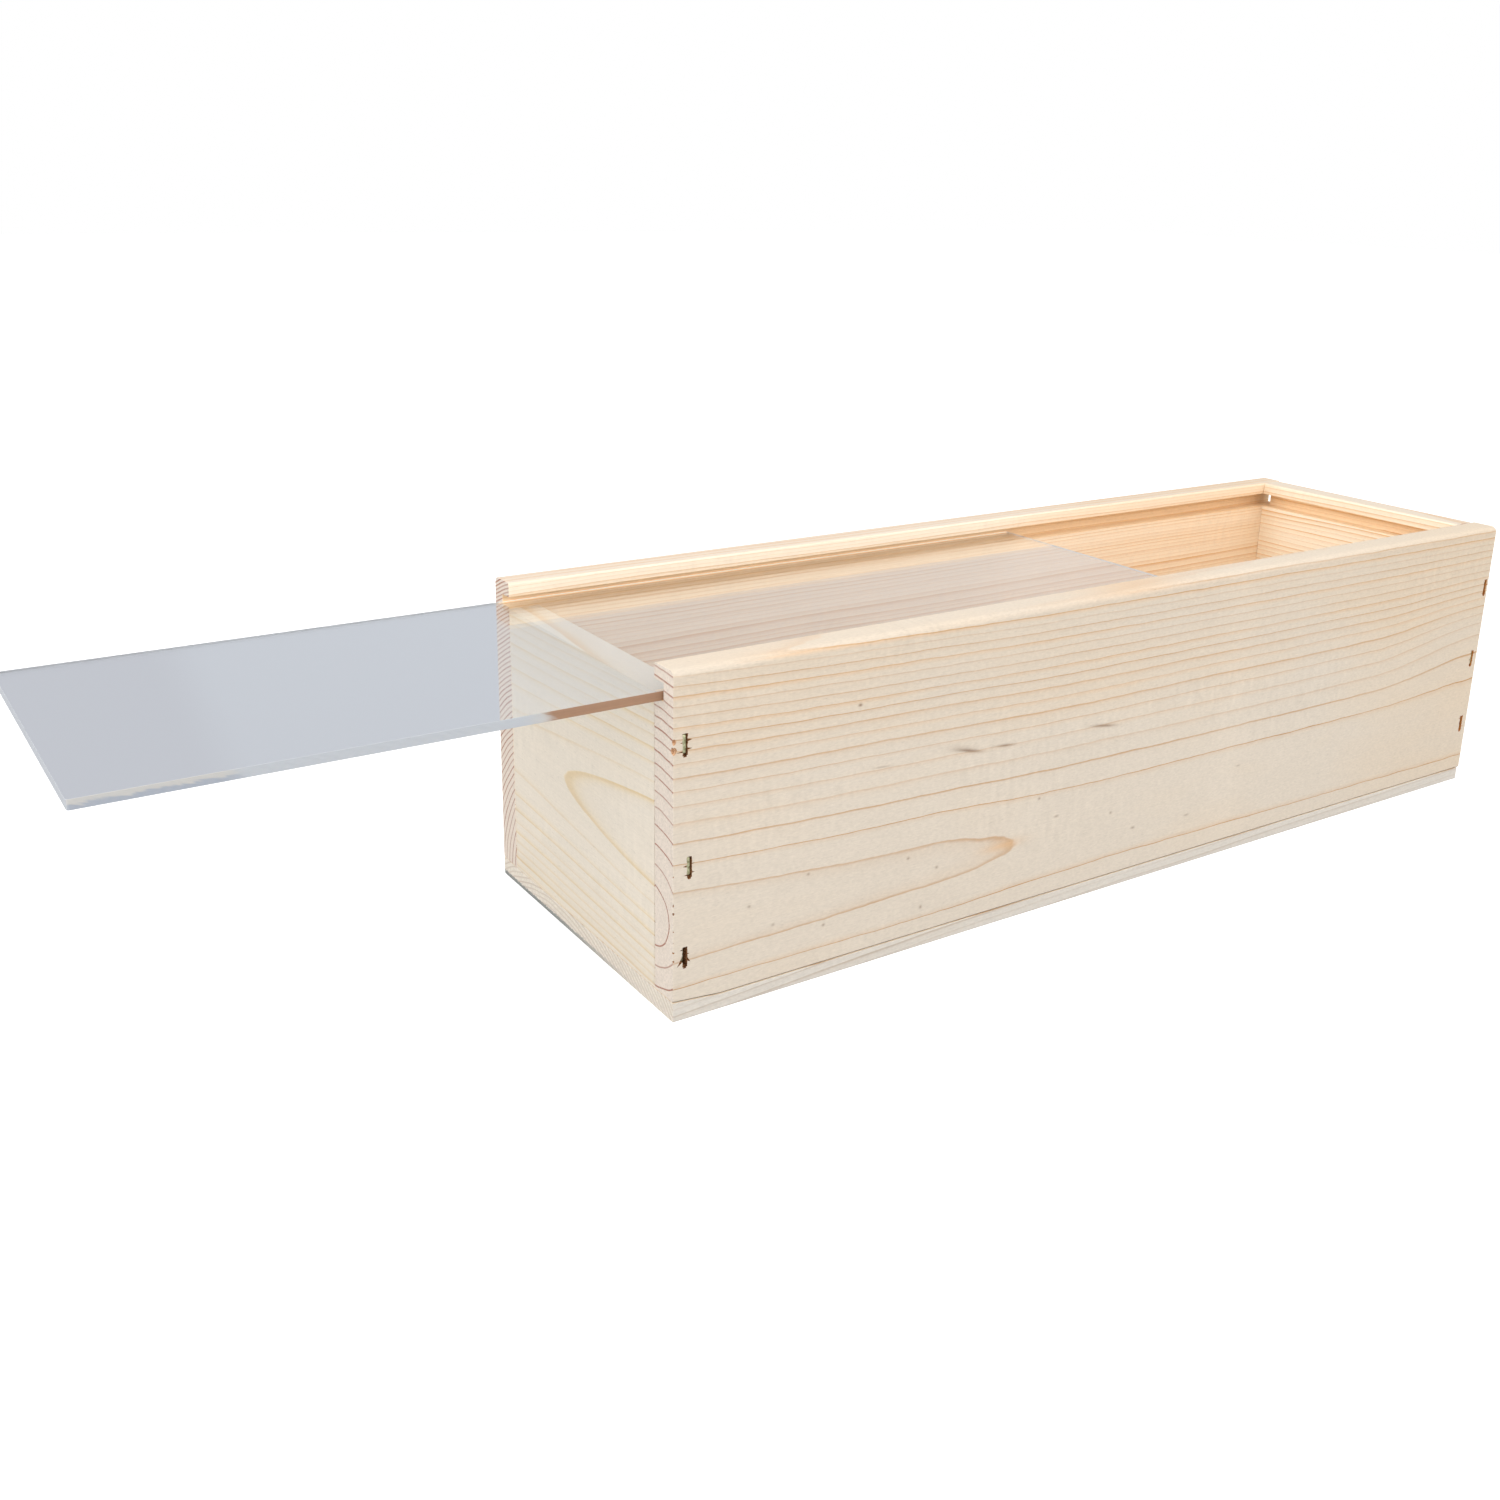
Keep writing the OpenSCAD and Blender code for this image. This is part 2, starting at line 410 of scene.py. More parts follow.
@dataclass(frozen=True)
class PineFinish(Finish):
    """Planed, unfinished pine cut from a log whose heart and rings are known."""

    grain: Grain
    pith: Pith
    rings: Rings
    early: Paint
    early_warm: Paint
    late: Paint
    end_early: Paint = PALE_END
    end_late: Paint = RING_END
    late_strength: float = 0.75
    # Inner faces take lighter, warmer copies of the wood's colours: painted bounce light inside the box.
    inside: Optional[tuple[str, float]] = None
    lit_inside_early: Paint = paint(243, 223, 197)
    lit_inside_late: Paint = paint(208, 150, 88)
    band: Paint = paint(224, 180, 132)
    band_strength: float = 0.55
    band_years: tuple[float, float] = (-1.0, 0.0)
    # Faces in the lid's groove take a warm, pale tone: painted warm bounce light.
    groove: Optional[tuple[float, float]] = None
    groove_bounce_light: Paint = paint(249, 223, 187)
    warm_from: Optional[tuple[float, float]] = None
    warm_years: Optional[tuple[float, float]] = None
    faint_years: Optional[tuple[float, float]] = None
    top_strength: float = 1.0
    nap: float = 1.0
    # Inner faces turn darker and warmer towards the far back corner: painted shade.
    corner: Optional[tuple[float, float]] = None
    corner_shade: Paint = paint(214, 168, 108)
    corner_shade_strength: float = 0.25
    # Painted contact shadow on the foot of the open end: its span across the box, its colour and its
    # strength.
    foot_shadow_span: Optional[tuple[float, float]] = None
    foot_shadow: Paint = paint(116, 122, 121)
    foot_shadow_strength: float = 0.85
    swirl: Optional[Swirl] = None
    flecks: tuple[Fleck, ...] = ()
    fleck_colour: Paint = paint(124, 92, 66)
    blushes: tuple[Fleck, ...] = ()
    # Where a band of painted sheen lies along the grain.
    sheen_at: Optional[float] = None

    # Patches per millimetre of each pattern, along, through and across the grain.
    FIBRES = (0.07, 2.4, 2.4)
    PORES = (0.5, 5.0, 5.0)
    CLOUDS = (0.018, 0.05, 0.06)
    FUZZ = (0.9, 1.7, 1.7)
    TICKS = (0.4, 2.4, 2.4)
    WANDER = (0.011, 0.06, 0.06)
    RIPPLE = (0.09, 0.2, 0.2)
    # The same along and across the grain only.
    FADES = (0.02, 0.08)
    CURLS = (0.42, 0.11)
    CURLY_PLACES = (0.013, 0.03)
    CURL_SEED = 4.0
    # How much each pattern changes the wood's brightness.
    FIBRE_TONE = 0.14
    PORE_TONE = 0.12
    FUZZ_TONE = 0.11
    CLOUD_TONE = 0.06
    TICK_TONE = 0.12
    CURL_TONE = 0.13
    # Brightness and width of the painted sheen band.
    SHEEN_TONE = 0.022
    SHEEN_WIDTH = 7.0
    # Where late wood starts to show past a ring's outer edge, in millimetres.
    RING_EDGE = 0.12
    # Between which values of its direction a face starts to count as level, as inner and as an end.
    LEVEL_FACE = (0.5, 0.8)
    INNER_FACE = (0.4, 0.8)
    END_FACE = (0.55, 0.85)
    GROOVE_BLUR = 0.4
    # Seeds of the numbers that are drawn once for each year.
    STRENGTH_SEED = 3.7
    WIDTH_SEED = 11.3
    HAZE_SEED = 5.1
    BAND_SEED = 7.9

    def surface(self, graph: Graph) -> bpy.types.NodeSocket:
        """Builds the wood's shader.

        Args:
            graph: The material's graph.

        Returns:
            The shader's output.
        """
        spot = self._spot(graph)
        fibre = spot.noise(self.FIBRES, 3.0)
        pores = spot.noise(self.PORES)
        fuzz = spot.noise(self.FUZZ)
        cloud = spot.noise(self.CLOUDS, 2.0)
        ticks = graph.smooth(spot.noise(self.TICKS), 0.66, 0.8)
        dark = self._late_wood(spot)
        side = self._marks(spot, self._side_colour(spot, dark, cloud))
        nap = (pores - 0.5) * self.PORE_TONE + (fuzz - 0.5) * self.FUZZ_TONE
        tone = (fibre - 0.5) * self.FIBRE_TONE + nap * self.nap + (cloud - 0.5) * self.CLOUD_TONE + 1.0
        side = graph.scale(side, tone + self._figure(spot) - ticks * self.TICK_TONE)
        is_end = graph.smooth(abs(spot.facing[self.grain.value[0]]), *self.END_FACE)
        colour = graph.mix(is_end, side, self._end_colour(spot, pores, fuzz))
        feeds = {
            "Base Color": self._foot_grime_and_shade(spot, colour, fuzz),
            "Roughness": graph.clamp(0.66 - dark * 0.12 + (fibre - 0.5) * 0.2 + is_end * 0.12),
            "Specular IOR Level": 0.32,
            "Normal": graph.bump(fibre * 0.5 + pores * 0.25 + dark * 0.35, 0.07, 0.55),
        }
        return graph.shader("ShaderNodeBsdfPrincipled", feeds)

    def _spot(self, graph: Graph) -> Spot:
        """Finds a point's place and face, its year, and its gap to the outer edge of that year's ring."""
        place, facing = graph.place(), graph.facing()
        along, through, across = (place[axis] for axis in self.grain.value)
        count, density = self._ring_count(graph, along, through, across)
        gap = (1.0 - graph.math("FRACT", count)) / density
        return Spot(graph, place, facing, along, through, across, graph.math("FLOOR", count), gap)

    def _ring_count(self, graph: Graph, along: Value, through: Value, across: Value) -> tuple[Value, Value]:
        """Counts the rings between the heart and a point.

        Args:
            graph: The material's graph.
            along: The point's place along the grain.
            through: Its place through the board.
            across: Its place across the board.

        Returns:
            The number of rings, whole at each ring's outer edge, and the rings per millimetre there.
        """
        pith, rings, swirl = self.pith, self.rings, self.swirl
        start = along - pith.fade_from
        bowed = along - pith.bow_from
        heart_through = bowed * bowed * pith.bow + bowed * pith.tilt + pith.through
        heart_across: Number = pith.across
        if pith.through_fade:
            faded = graph.math("EXPONENT", start * (-1 / pith.through_reach))
            heart_through = heart_through + faded * pith.through_fade
        if pith.across_fade:
            faded = graph.math("EXPONENT", start * (-1 / pith.across_reach))
            heart_across = faded * pith.across_fade + pith.across
        if pith.step:
            heart_through = heart_through + graph.smooth(along, pith.step_from, pith.step_to) * pith.step
        if swirl:
            lift = graph.smooth(along, swirl.start, swirl.end) * swirl.rise
            across = across - lift * graph.hill(across, swirl.centre, swirl.spread)
        out = through - heart_through
        up = across - heart_across
        slow = graph.noise((along, through, across), self.WANDER, 1.0, rings.seed)
        quick = graph.noise((along, through, across), self.RIPPLE, 2.0, rings.seed)
        drift = (slow - 0.5) * (2 * rings.wander) + (quick - 0.5) * (2 * rings.ripple)
        radius = graph.math("SQRT", out * out + up * up) + drift
        beyond = graph.math("MAXIMUM", radius - rings.crowd_from, 0.0)
        count = radius * (1 / rings.spacing) + beyond * beyond * rings.crowding - rings.phase
        return count, beyond * (2 * rings.crowding) + 1 / rings.spacing

    def _strength(self, spot: Spot, least: float) -> Value:
        """How clearly a year's late wood shows: by chance from least to 1, full in the wide inner years."""
        graph, year = spot.graph, spot.year
        shown = graph.math("GREATER_THAN", year, self.rings.first_year - 0.5)
        clear = graph.math("LESS_THAN", year, self.rings.clear_until + 0.5)
        drawn = graph.chance(year, self.STRENGTH_SEED + self.rings.seed) * (1.0 - least) + least
        return graph.math("MAXIMUM", drawn, clear) * shown

    def _late_wood(self, spot: Spot) -> Value:
        """Darkness of the late wood: a core that stops sharply at the ring's edge and a haze inside it."""
        graph, gap, rings = spot.graph, spot.gap, self.rings
        width = (graph.chance(spot.year, self.WIDTH_SEED + rings.seed) + 0.5) * rings.late_width
        soft = graph.chance(spot.year, self.HAZE_SEED + rings.seed) * (2 * rings.haze)
        core = graph.fall(gap, width * 0.4, width * 1.5)
        haze = graph.fall(gap, 0.0, width * 6.0) * soft
        edge = graph.smooth(gap, 0.0, self.RING_EDGE)
        fade = graph.noise((spot.along, spot.across), self.FADES, 2.0, rings.seed) * 1.1 + 0.35
        return graph.clamp((core * 0.9 + haze) * edge * self._strength(spot, 0.3) * fade)

    def _inner_faces(self, spot: Spot) -> tuple[Value, Optional[Value]]:
        """How far a point is on the inner face or in the groove, and how far it is at the groove's level."""
        graph = spot.graph
        axis, way = self.inside
        is_inside = graph.smooth(spot.facing[axis] * way, *self.INNER_FACE)
        if not self.groove:
            return is_inside, None
        low, high = self.groove
        height, blur = spot.place["z"], self.GROOVE_BLUR
        level = graph.smooth(height, low - blur, low) * graph.fall(height, high, high + blur)
        flat = graph.smooth(abs(spot.facing["z"]), *self.LEVEL_FACE)
        return graph.math("MAXIMUM", is_inside, level * flat), level

    def _side_colour(self, spot: Spot, dark: Value, cloud: Value) -> bpy.types.NodeSocket:
        """Colours the long grain.

        Args:
            spot: The point.
            dark: Darkness of its late wood.
            cloud: The slow pattern that warms the wood.

        Returns:
            Pale early wood with warm bands in some years, the inner faces' tones, and late wood lines.
        """
        graph, year = spot.graph, spot.year
        warm = (cloud - 0.5) * 1.2
        if self.warm_from:
            warm = warm + graph.smooth(spot.along, *self.warm_from) * 0.8
        if self.warm_years:
            warm = warm + graph.smooth(year, *self.warm_years) * 0.45
        ground = graph.mix(graph.clamp(warm), self.early, self.early_warm)
        late: Feed = self.late
        is_up = graph.smooth(spot.facing["z"], *self.LEVEL_FACE)
        if self.inside:
            is_inside, level = self._inner_faces(spot)
            # Painted bounce light: inner faces take the lighter, warmer early wood.
            ground = graph.mix(is_inside, ground, self.lit_inside_early)
            if level is not None:
                # Painted warm bounce light on the faces of the groove.
                ground = graph.mix(is_inside * level, ground, self.groove_bounce_light)
            # Painted shade on the inner faces towards the far back corner.
            if self.corner:
                corner_shading = graph.smooth(spot.along, *self.corner) * self.corner_shade_strength
                ground = graph.mix(is_inside * corner_shading, ground, self.corner_shade)
            # Painted bounce light: late wood on inner faces, and by half on tops, takes the lighter inner
            # colour.
            late = graph.mix(graph.math("MAXIMUM", is_inside, is_up * 0.5), late, self.lit_inside_late)
        banded = graph.fall(spot.gap, 0.2, 1.7) * graph.chance(year, self.BAND_SEED + self.rings.seed)
        shown = self._strength(spot, 0.2) * (graph.smooth(year, *self.band_years) + 0.25)
        quiet = 1.0 - is_up * (1.0 - self.top_strength)
        if self.faint_years:
            quiet = quiet * (1.0 - graph.smooth(year, *self.faint_years) * 0.33)
        ground = graph.mix(banded * cloud * shown * quiet * (2 * self.band_strength), ground, self.band)
        return graph.mix(dark * quiet * self.late_strength, ground, late)

    def _end_colour(self, spot: Spot, pores: Value, fuzz: Value) -> bpy.types.NodeSocket:
        """Colour of the sawn end grain: dark broken rings on a duller ground with torn fibres and pores."""
        graph = spot.graph
        core = graph.fall(spot.gap, 0.3, 0.72)
        edge = graph.smooth(spot.gap, 0.0, self.RING_EDGE)
        broken = graph.smooth(fuzz, 0.3, 0.5) * 0.45 + 0.6
        ground = graph.mix(graph.smooth(pores, 0.5, 0.8) * 0.25, self.end_early, self.end_late)
        torn = graph.scale(ground, ((fuzz - 0.5) * 0.26 + (pores - 0.5) * 0.2) * self.nap + 1.0)
        return graph.mix(core * edge * broken * self._strength(spot, 0.6), torn, self.end_late)

    def _figure(self, spot: Spot) -> Number:
        """Faint ripples across the grain where the plane caught curly wood, and one band of painted sheen."""
        graph, flat = spot.graph, (spot.along, spot.across)
        ripple = graph.noise(flat, self.CURLS, 1.0, self.rings.seed) - 0.5
        where = graph.smooth(graph.noise(flat, self.CURLY_PLACES, 1.0, self.CURL_SEED), 0.45, 0.65)
        figure = ripple * where * self.CURL_TONE
        # A band of painted sheen.
        if self.sheen_at is not None:
            figure = figure + graph.hill(spot.along, self.sheen_at, self.SHEEN_WIDTH) * self.SHEEN_TONE
        return figure

    def _marks(self, spot: Spot, colour: bpy.types.NodeSocket) -> bpy.types.NodeSocket:
        """Adds the board's blushes and flecks to its long-grain colour."""
        for marks, tone in ((self.blushes, self.band), (self.flecks, self.fleck_colour)):
            for mark in marks:
                colour = spot.graph.mix(mark.strength(spot.graph, spot.along, spot.across), colour, tone)
        return colour

    def _foot_grime_and_shade(self, spot: Spot, colour: bpy.types.NodeSocket, fuzz: Value) -> bpy.types.NodeSocket:
        """Darkens slanted faces that look down, such as the chamfers along the foot, as grime in the seam and
        painted shade, and paints a contact shadow on the foot of the open end.
        """
        graph, place = spot.graph, spot.place
        # Painted shade, with some grime in the seam, on slanted faces that look down.
        down = spot.facing["z"] * -1.0
        chamfer = graph.smooth(down, 0.35, 0.65) * graph.fall(down, 0.8, 0.95)
        colour = graph.scale(colour, 1.0 - chamfer * (fuzz * 0.6 + 0.2))
        if not self.foot_shadow_span:
            return colour
        # Painted contact shadow along the foot of the open end.
        low = graph.fall(place["z"] + (fuzz - 0.5) * 1.5, 1.15, 1.75)
        reach = graph.smooth(place["y"] + (fuzz - 0.5) * 30.0, *self.foot_shadow_span)
        is_end = graph.smooth(spot.facing["x"], -0.3, -0.7)
        return graph.mix(low * reach * is_end * self.foot_shadow_strength, colour, self.foot_shadow)


@dataclass(frozen=True)
class TornFinish(Finish):
    """Crushed and torn wood inside a staple's slot or a chipped edge."""

    deep: Paint
    pale: Paint

    def surface(self, graph: Graph) -> bpy.types.NodeSocket:
        """Builds the shader of short shreds."""
        shreds = graph.noise(graph.place().values(), (0.8, 3.0, 3.0), 3.0)
        feeds = {
            "Base Color": graph.mix(graph.smooth(shreds, 0.35, 0.7), self.deep, self.pale),
            "Roughness": graph.clamp(shreds * 0.3 + 0.65),
            "Specular IOR Level": 0.2,
            "Normal": graph.bump(shreds, 0.25, 0.9),
        }
        return graph.shader("ShaderNodeBsdfPrincipled", feeds)


@dataclass(frozen=True)
class WireFinish(Finish):
    """Drawn steel wire under a thin golden-green lacquer."""

    bright: Paint
    dull: Paint

    def surface(self, graph: Graph) -> bpy.types.NodeSocket:
        """Builds the shader of drawn, partly worn wire."""
        place = graph.place()
        drawn = graph.noise(place.values(), (6.0, 6.0, 1.2), 3.0)
        worn = graph.noise(place.values(), (0.9, 0.9, 0.9), 2.0)
        feeds = {
            "Base Color": graph.mix(graph.smooth(worn, 0.4, 0.62), self.bright, self.dull),
            "Metallic": 0.55,
            "Roughness": graph.clamp(drawn * 0.22 + 0.22),
            "Normal": graph.bump(drawn, 0.02, 0.5),
        }
        return graph.shader("ShaderNodeBsdfPrincipled", feeds)


@dataclass(frozen=True)
class ClearSheetFinish(Finish):
    """Clear cast plastic that bends light, with faint waves in its surface, and lets lamps shine through."""

    tint: Paint

    def surface(self, graph: Graph) -> bpy.types.NodeSocket:
        """Builds the shader, clear to light and almost clear to shadow rays."""
        waves = graph.noise(graph.place().values(), (0.02, 0.03, 0.02))
        feeds = {
            "Base Color": self.tint,
            "Roughness": 0.0,
            "IOR": PLASTIC_INDEX,
            "Transmission Weight": 1.0,
            "Normal": graph.bump(waves, 0.01, 0.3),
        }
        is_shadow = graph.node("ShaderNodeLightPath").outputs["Is Shadow Ray"]
        clear = graph.shader("ShaderNodeBsdfPrincipled", feeds)
        through = graph.shader("ShaderNodeBsdfTransparent", {"Color": self.tint})
        return graph.shader("ShaderNodeMixShader", {0: is_shadow, 1: clear, 2: through})


@dataclass(frozen=True)
class SheetEdgeFinish(Finish):
    """Sawn edge of the clear sheet, painted with the colours it shows of what the sheet lies against.

    The far edge, where it lies in its groove at rest, takes a painted reflection of the groove's tan wood,
    a painted highlight stripe along its top and a faint painted glow, though it is no lamp. The near edge
    carries painted reflections of the brown of the groove beside the box and of the grey of the air further
    out, and near the sheet's outer end, where the saw left it broken, a painted lighter upper half over a
    shaded lower half. The other edges are pale. These colours are set in the sheet's own frame.
    """

    # Painted reflections on the near edge: the groove's brown and the air's grey. Pale and shade paint the
    # broken part's lighter upper half and shaded lower half, and pale also marks the patch between brown and
    # grey.
    brown: Paint
    grey: Paint
    pale: Paint
    shade: Paint
    rest: Paint
    # The far edge in the groove: painted reflection of the groove's tan, a painted glow and a painted
    # highlight stripe.
    groove: Paint
    glow: Paint
    gleam: Paint
    inner: Paint
    glow_strength: float = 0.5
    groove_from: float = -176.0
    inner_from: float = 27.2
    brown_from: float = -209.0
    broken_to: float = -283.0
    middle: float = 91.95

    def surface(self, graph: Graph) -> bpy.types.NodeSocket:
        """Builds the edge's shader.

        Args:
            graph: The material's graph.

        Returns:
            The shader's output.
        """
        place = graph.place()
        score_place = (place["x"] + place["z"] * 2.2, place["y"], place["z"])
        scores = graph.noise(score_place, (0.45, 0.5, 0.5), 3.0)
        sideways = graph.fall(abs(graph.facing()["x"]), 0.3, 0.6)
        is_near = graph.smooth(place["y"], 0.0, -10.0) * sideways
        in_groove = graph.smooth(place["x"], self.groove_from - 3, self.groove_from) * sideways
        # A painted highlight stripe along the top of the far edge.
        stripe = graph.smooth(place["z"], self.middle + 0.3, self.middle + 0.5)
        # The far edge in the groove takes a painted reflection of the groove's tan wood.
        other = graph.mix(in_groove, self.rest, graph.mix(stripe, self.groove, self.gleam))
        is_inner = graph.smooth(place["x"], self.inner_from, self.inner_from + 0.5)
        other = graph.mix(is_inner, other, self.inner)
        # A faint painted glow of the far edge in the groove, though it is no lamp.
        glow = graph.mix(stripe, self.glow, self.gleam)
        feeds = {
            "Base Color": graph.mix(is_near, other, self._near_colour(graph, place, scores)),
            "Emission Color": graph.mix(in_groove * (1.0 - is_near), BLACK, glow),
            "Emission Strength": self.glow_strength,
            "Roughness": graph.clamp(scores * 0.3 + 0.2),
            "IOR": PLASTIC_INDEX,
            "Normal": graph.bump(scores, 0.15, 0.6),
        }
        return graph.shader("ShaderNodeBsdfPrincipled", feeds)

    def _near_colour(self, graph: Graph, place: dict[str, Value], scores: Value) -> bpy.types.NodeSocket:
        """Painted reflections on the near edge: brown, then pale, then grey, and broken near the outer end.
        """
        streaks = graph.noise(place.values(), (0.05, 0.05, 1.6), 2.0)
        # Painted reflection of the groove's brown wood, with streaks.
        wood = graph.scale(self.brown[:3], (streaks - 0.5) * 0.35 + 1.0)
        border = place["x"] + place["z"] * 0.5 - self.middle * 0.5 + (scores - 0.5) * 5.0
        start = self.brown_from
        near = graph.mix(graph.smooth(border, start - 6, start + 1), self.grey, self.pale)
        near = graph.mix(graph.smooth(border, start - 1, start + 3), near, wood)
        # Near the outer end, a painted lighter upper half over a shaded lower half.
        half = graph.smooth(place["z"] + (scores - 0.5) * 2.4, self.middle - 0.35, self.middle + 0.35)
        is_broken = graph.fall(border, self.broken_to - 3, self.broken_to + 3)
        return graph.mix(is_broken, near, graph.mix(half, self.shade, self.pale))


@dataclass(frozen=True)
class PaperFinish(Finish):
    """Paper under the box: white to the camera, greyer to other rays, and plain grey by way of the lid."""

    paper: Paint = (0.45, 0.45, 0.45, 1.0)
    pale: Paint = (0.85, 0.85, 0.85, 1.0)
    seen: Paint = (0.55, 0.57, 0.62, 1.0)
    white: float = 0.35

    def surface(self, graph: Graph) -> bpy.types.NodeSocket:
        """Builds a shader that differs by the kind of ray."""
        from_camera, shiny = graph.rays()
        paper = graph.shader("ShaderNodeBsdfDiffuse", {"Color": self.paper})
        pale = graph.shader("ShaderNodeBsdfDiffuse", {"Color": self.pale})
        white = graph.shader("ShaderNodeEmission", {"Color": WHITE, "Strength": self.white})
        both = graph.shader("ShaderNodeAddShader", {0: pale, 1: white})
        lit = graph.shader("ShaderNodeMixShader", {0: from_camera, 1: paper, 2: both})
        through = graph.shader("ShaderNodeEmission", {"Color": self.seen, "Strength": 1.0})
        return graph.shader("ShaderNodeMixShader", {0: shiny, 1: lit, 2: through})


GROOVE_LEVELS = (90.4, 95.5)

NEAR_PINE = PineFinish(
    name="near_side_pine",
    grain=Grain.LENGTHWISE,
    late_strength=1.0,
    pith=Pith(
        through=-40.7, through_fade=-3.6, through_reach=50.0, step=1.6, step_from=-90.0, step_to=-40.0,
        across=24.0, across_fade=4.2, across_reach=110.0, fade_from=-177.0,
    ),
    rings=Rings(spacing=6.1, phase=0.5, crowding=0.0024, crowd_from=22.0, late_width=0.34,
                haze=0.14, first_year=0.0, clear_until=0.0, wander=0.6, ripple=0.34, seed=0.0),
    early=paint(218, 206, 190),
    early_warm=paint(218, 201, 179),
    late=paint(182, 127, 58),
    inside=("y", 1.0),
    groove=GROOVE_LEVELS,
    warm_from=(60.0, 180.0),
    warm_years=(4.0, 10.0),
    faint_years=(1.5, 5.0),
    top_strength=0.3,
    nap=1.5,
    band_years=(2.0, 5.0),
    swirl=Swirl(rise=6.5, start=112.0, end=178.0, centre=58.0, spread=19.0),
    blushes=(Fleck(-60.5, 25.6, 7.0, 1.5, 0.0, 0.55), Fleck(-8.0, 101.5, 20.0, 2.2, 0.0, 0.6)),
    flecks=tuple(
        Fleck(*row)
        for row in (
            (-76.0, 59.6, 4.6, 0.5, -13.0, 0.7), (-78.0, 60.6, 5.5, 1.1, -13.0, 0.22),
            (-62.0, 58.6, 3.4, 0.45, -5.0, 0.6), (-21.0, 57.4, 5.0, 0.5, -8.0, 0.65),
            (-108.0, 60.8, 3.0, 0.3, -3.0, 0.35), (-116.6, 80.8, 0.7, 0.45, 0.0, 0.75),
            (-46.4, 38.2, 0.55, 0.45, 0.0, 0.5), (-38.6, 30.6, 0.9, 0.4, 0.0, 0.5),
            (-14.6, 26.6, 0.55, 0.45, 0.0, 0.5), (-3.8, 19.0, 0.9, 0.4, 0.0, 0.5),
            (-97.0, 30.0, 0.55, 0.45, 0.0, 0.5), (-86.0, 24.6, 0.55, 0.45, 0.0, 0.5),
            (-126.8, 16.4, 0.55, 0.45, 0.0, 0.5), (-91.4, 13.0, 0.5, 0.6, 0.0, 0.5),
            (-152.0, 28.6, 0.55, 0.45, 0.0, 0.45), (-132.5, 33.6, 0.55, 0.45, 0.0, 0.45),
            (-144.0, 21.0, 0.55, 0.45, 0.0, 0.4), (21.4, 18.0, 1.2, 0.4, 0.0, 0.4),
            (45.0, 31.0, 1.0, 0.35, 0.0, 0.35),
        )
    ),
    # Painted sheen band.
    sheen_at=39.0,
)

FAR_PINE = PineFinish(
    name="far_side_pine",
    grain=Grain.LENGTHWISE,
    pith=Pith(through=10.0, across=0.5, tilt=0.004),
    rings=Rings(spacing=2.2, phase=0.2, crowding=0.0035, crowd_from=40.0, late_width=0.27, haze=0.16,
                wander=0.8, ripple=0.12, seed=20.0),
    late_strength=0.72,
    early=paint(223, 211, 196),
    early_warm=paint(217, 201, 180),
    late=paint(198, 146, 100),
    inside=("y", -1.0),
    # Painted bounce light on the inner face.
    lit_inside_early=paint(254, 239, 217),
    lit_inside_late=LIT_INNER_LATE,
    groove=GROOVE_LEVELS,
    # Painted shade on the inner face towards the far back corner.
    corner=(-20.0, 168.0),
    warm_from=(-40.0, 170.0),
)

FRONT_PINE = PineFinish(
    name="front_end_pine",
    grain=Grain.CROSSWISE,
    pith=Pith(through=-162.2, across=49.0, tilt=0.099, bow=-0.00081, bow_from=6.8),
    rings=Rings(spacing=5.0, phase=0.82, crowding=0.0051, crowd_from=22.0, late_width=0.5, haze=0.24,
                first_year=1.0, wander=0.45, ripple=0.16, seed=40.0),
    early=paint(219, 209, 194),
    early_warm=paint(219, 206, 187),
    late=paint(202, 172, 120),
    band=paint(222, 200, 156),
    band_strength=0.7,
    late_strength=0.68,
    inside=("x", 1.0),
)

BACK_PINE = PineFinish(
    name="back_end_pine",
    grain=Grain.CROSSWISE,
    pith=Pith(through=196.0, across=-46.0, tilt=0.05),
    rings=Rings(spacing=1.85, phase=0.1, late_width=0.3, haze=0.16, wander=1.0, ripple=0.1, seed=60.0),
    late_strength=0.9,
    early=paint(220, 206, 188),
    early_warm=paint(218, 200, 176),
    late=paint(198, 146, 100),
    inside=("x", -1.0),
    # Painted bounce light on the inner face.
    lit_inside_early=paint(246, 234, 213),
    lit_inside_late=LIT_INNER_LATE,
    groove=GROOVE_LEVELS,
    # Painted shade on the inner face towards the far back corner.
    corner=(30.0, 47.0),
)

BOTTOM_PINE = PineFinish(
    name="bottom_pine",
    grain=Grain.FLAT,
    pith=Pith(
        through=-58.0, across=18.0, tilt=0.01, through_fade=-6.0, through_reach=120.0, fade_from=-176.0
    ),
    rings=Rings(spacing=1.5, phase=0.3, late_width=0.3, wander=0.7, ripple=0.1, seed=80.0),
    early=paint(218, 211, 201),
    early_warm=paint(214, 204, 190),
    late=paint(184, 166, 146),
    end_early=paint(216, 207, 194),
    end_late=paint(196, 181, 165),
    band_strength=0.0,
    nap=1.8,
    # Painted contact shadow along the foot of the open end.
    foot_shadow_span=(-45.0, 20.0),
    inside=("z", 1.0),
)

TORN_WOOD = TornFinish("torn_wood", deep=paint(104, 66, 40), pale=paint(176, 126, 84))
CRUSHED_WOOD = TornFinish("crushed_wood", deep=paint(178, 108, 54), pale=paint(226, 164, 100))
CHIPPED_WOOD = TornFinish("chipped_wood", deep=paint(176, 130, 94), pale=paint(228, 192, 156))
STAPLE_STEEL = WireFinish("lacquered_wire", bright=paint(214, 214, 172), dull=paint(156, 150, 106))
CLEAR_SHEET = ClearSheetFinish("clear_sheet", tint=(0.985, 0.99, 0.992, 1.0))
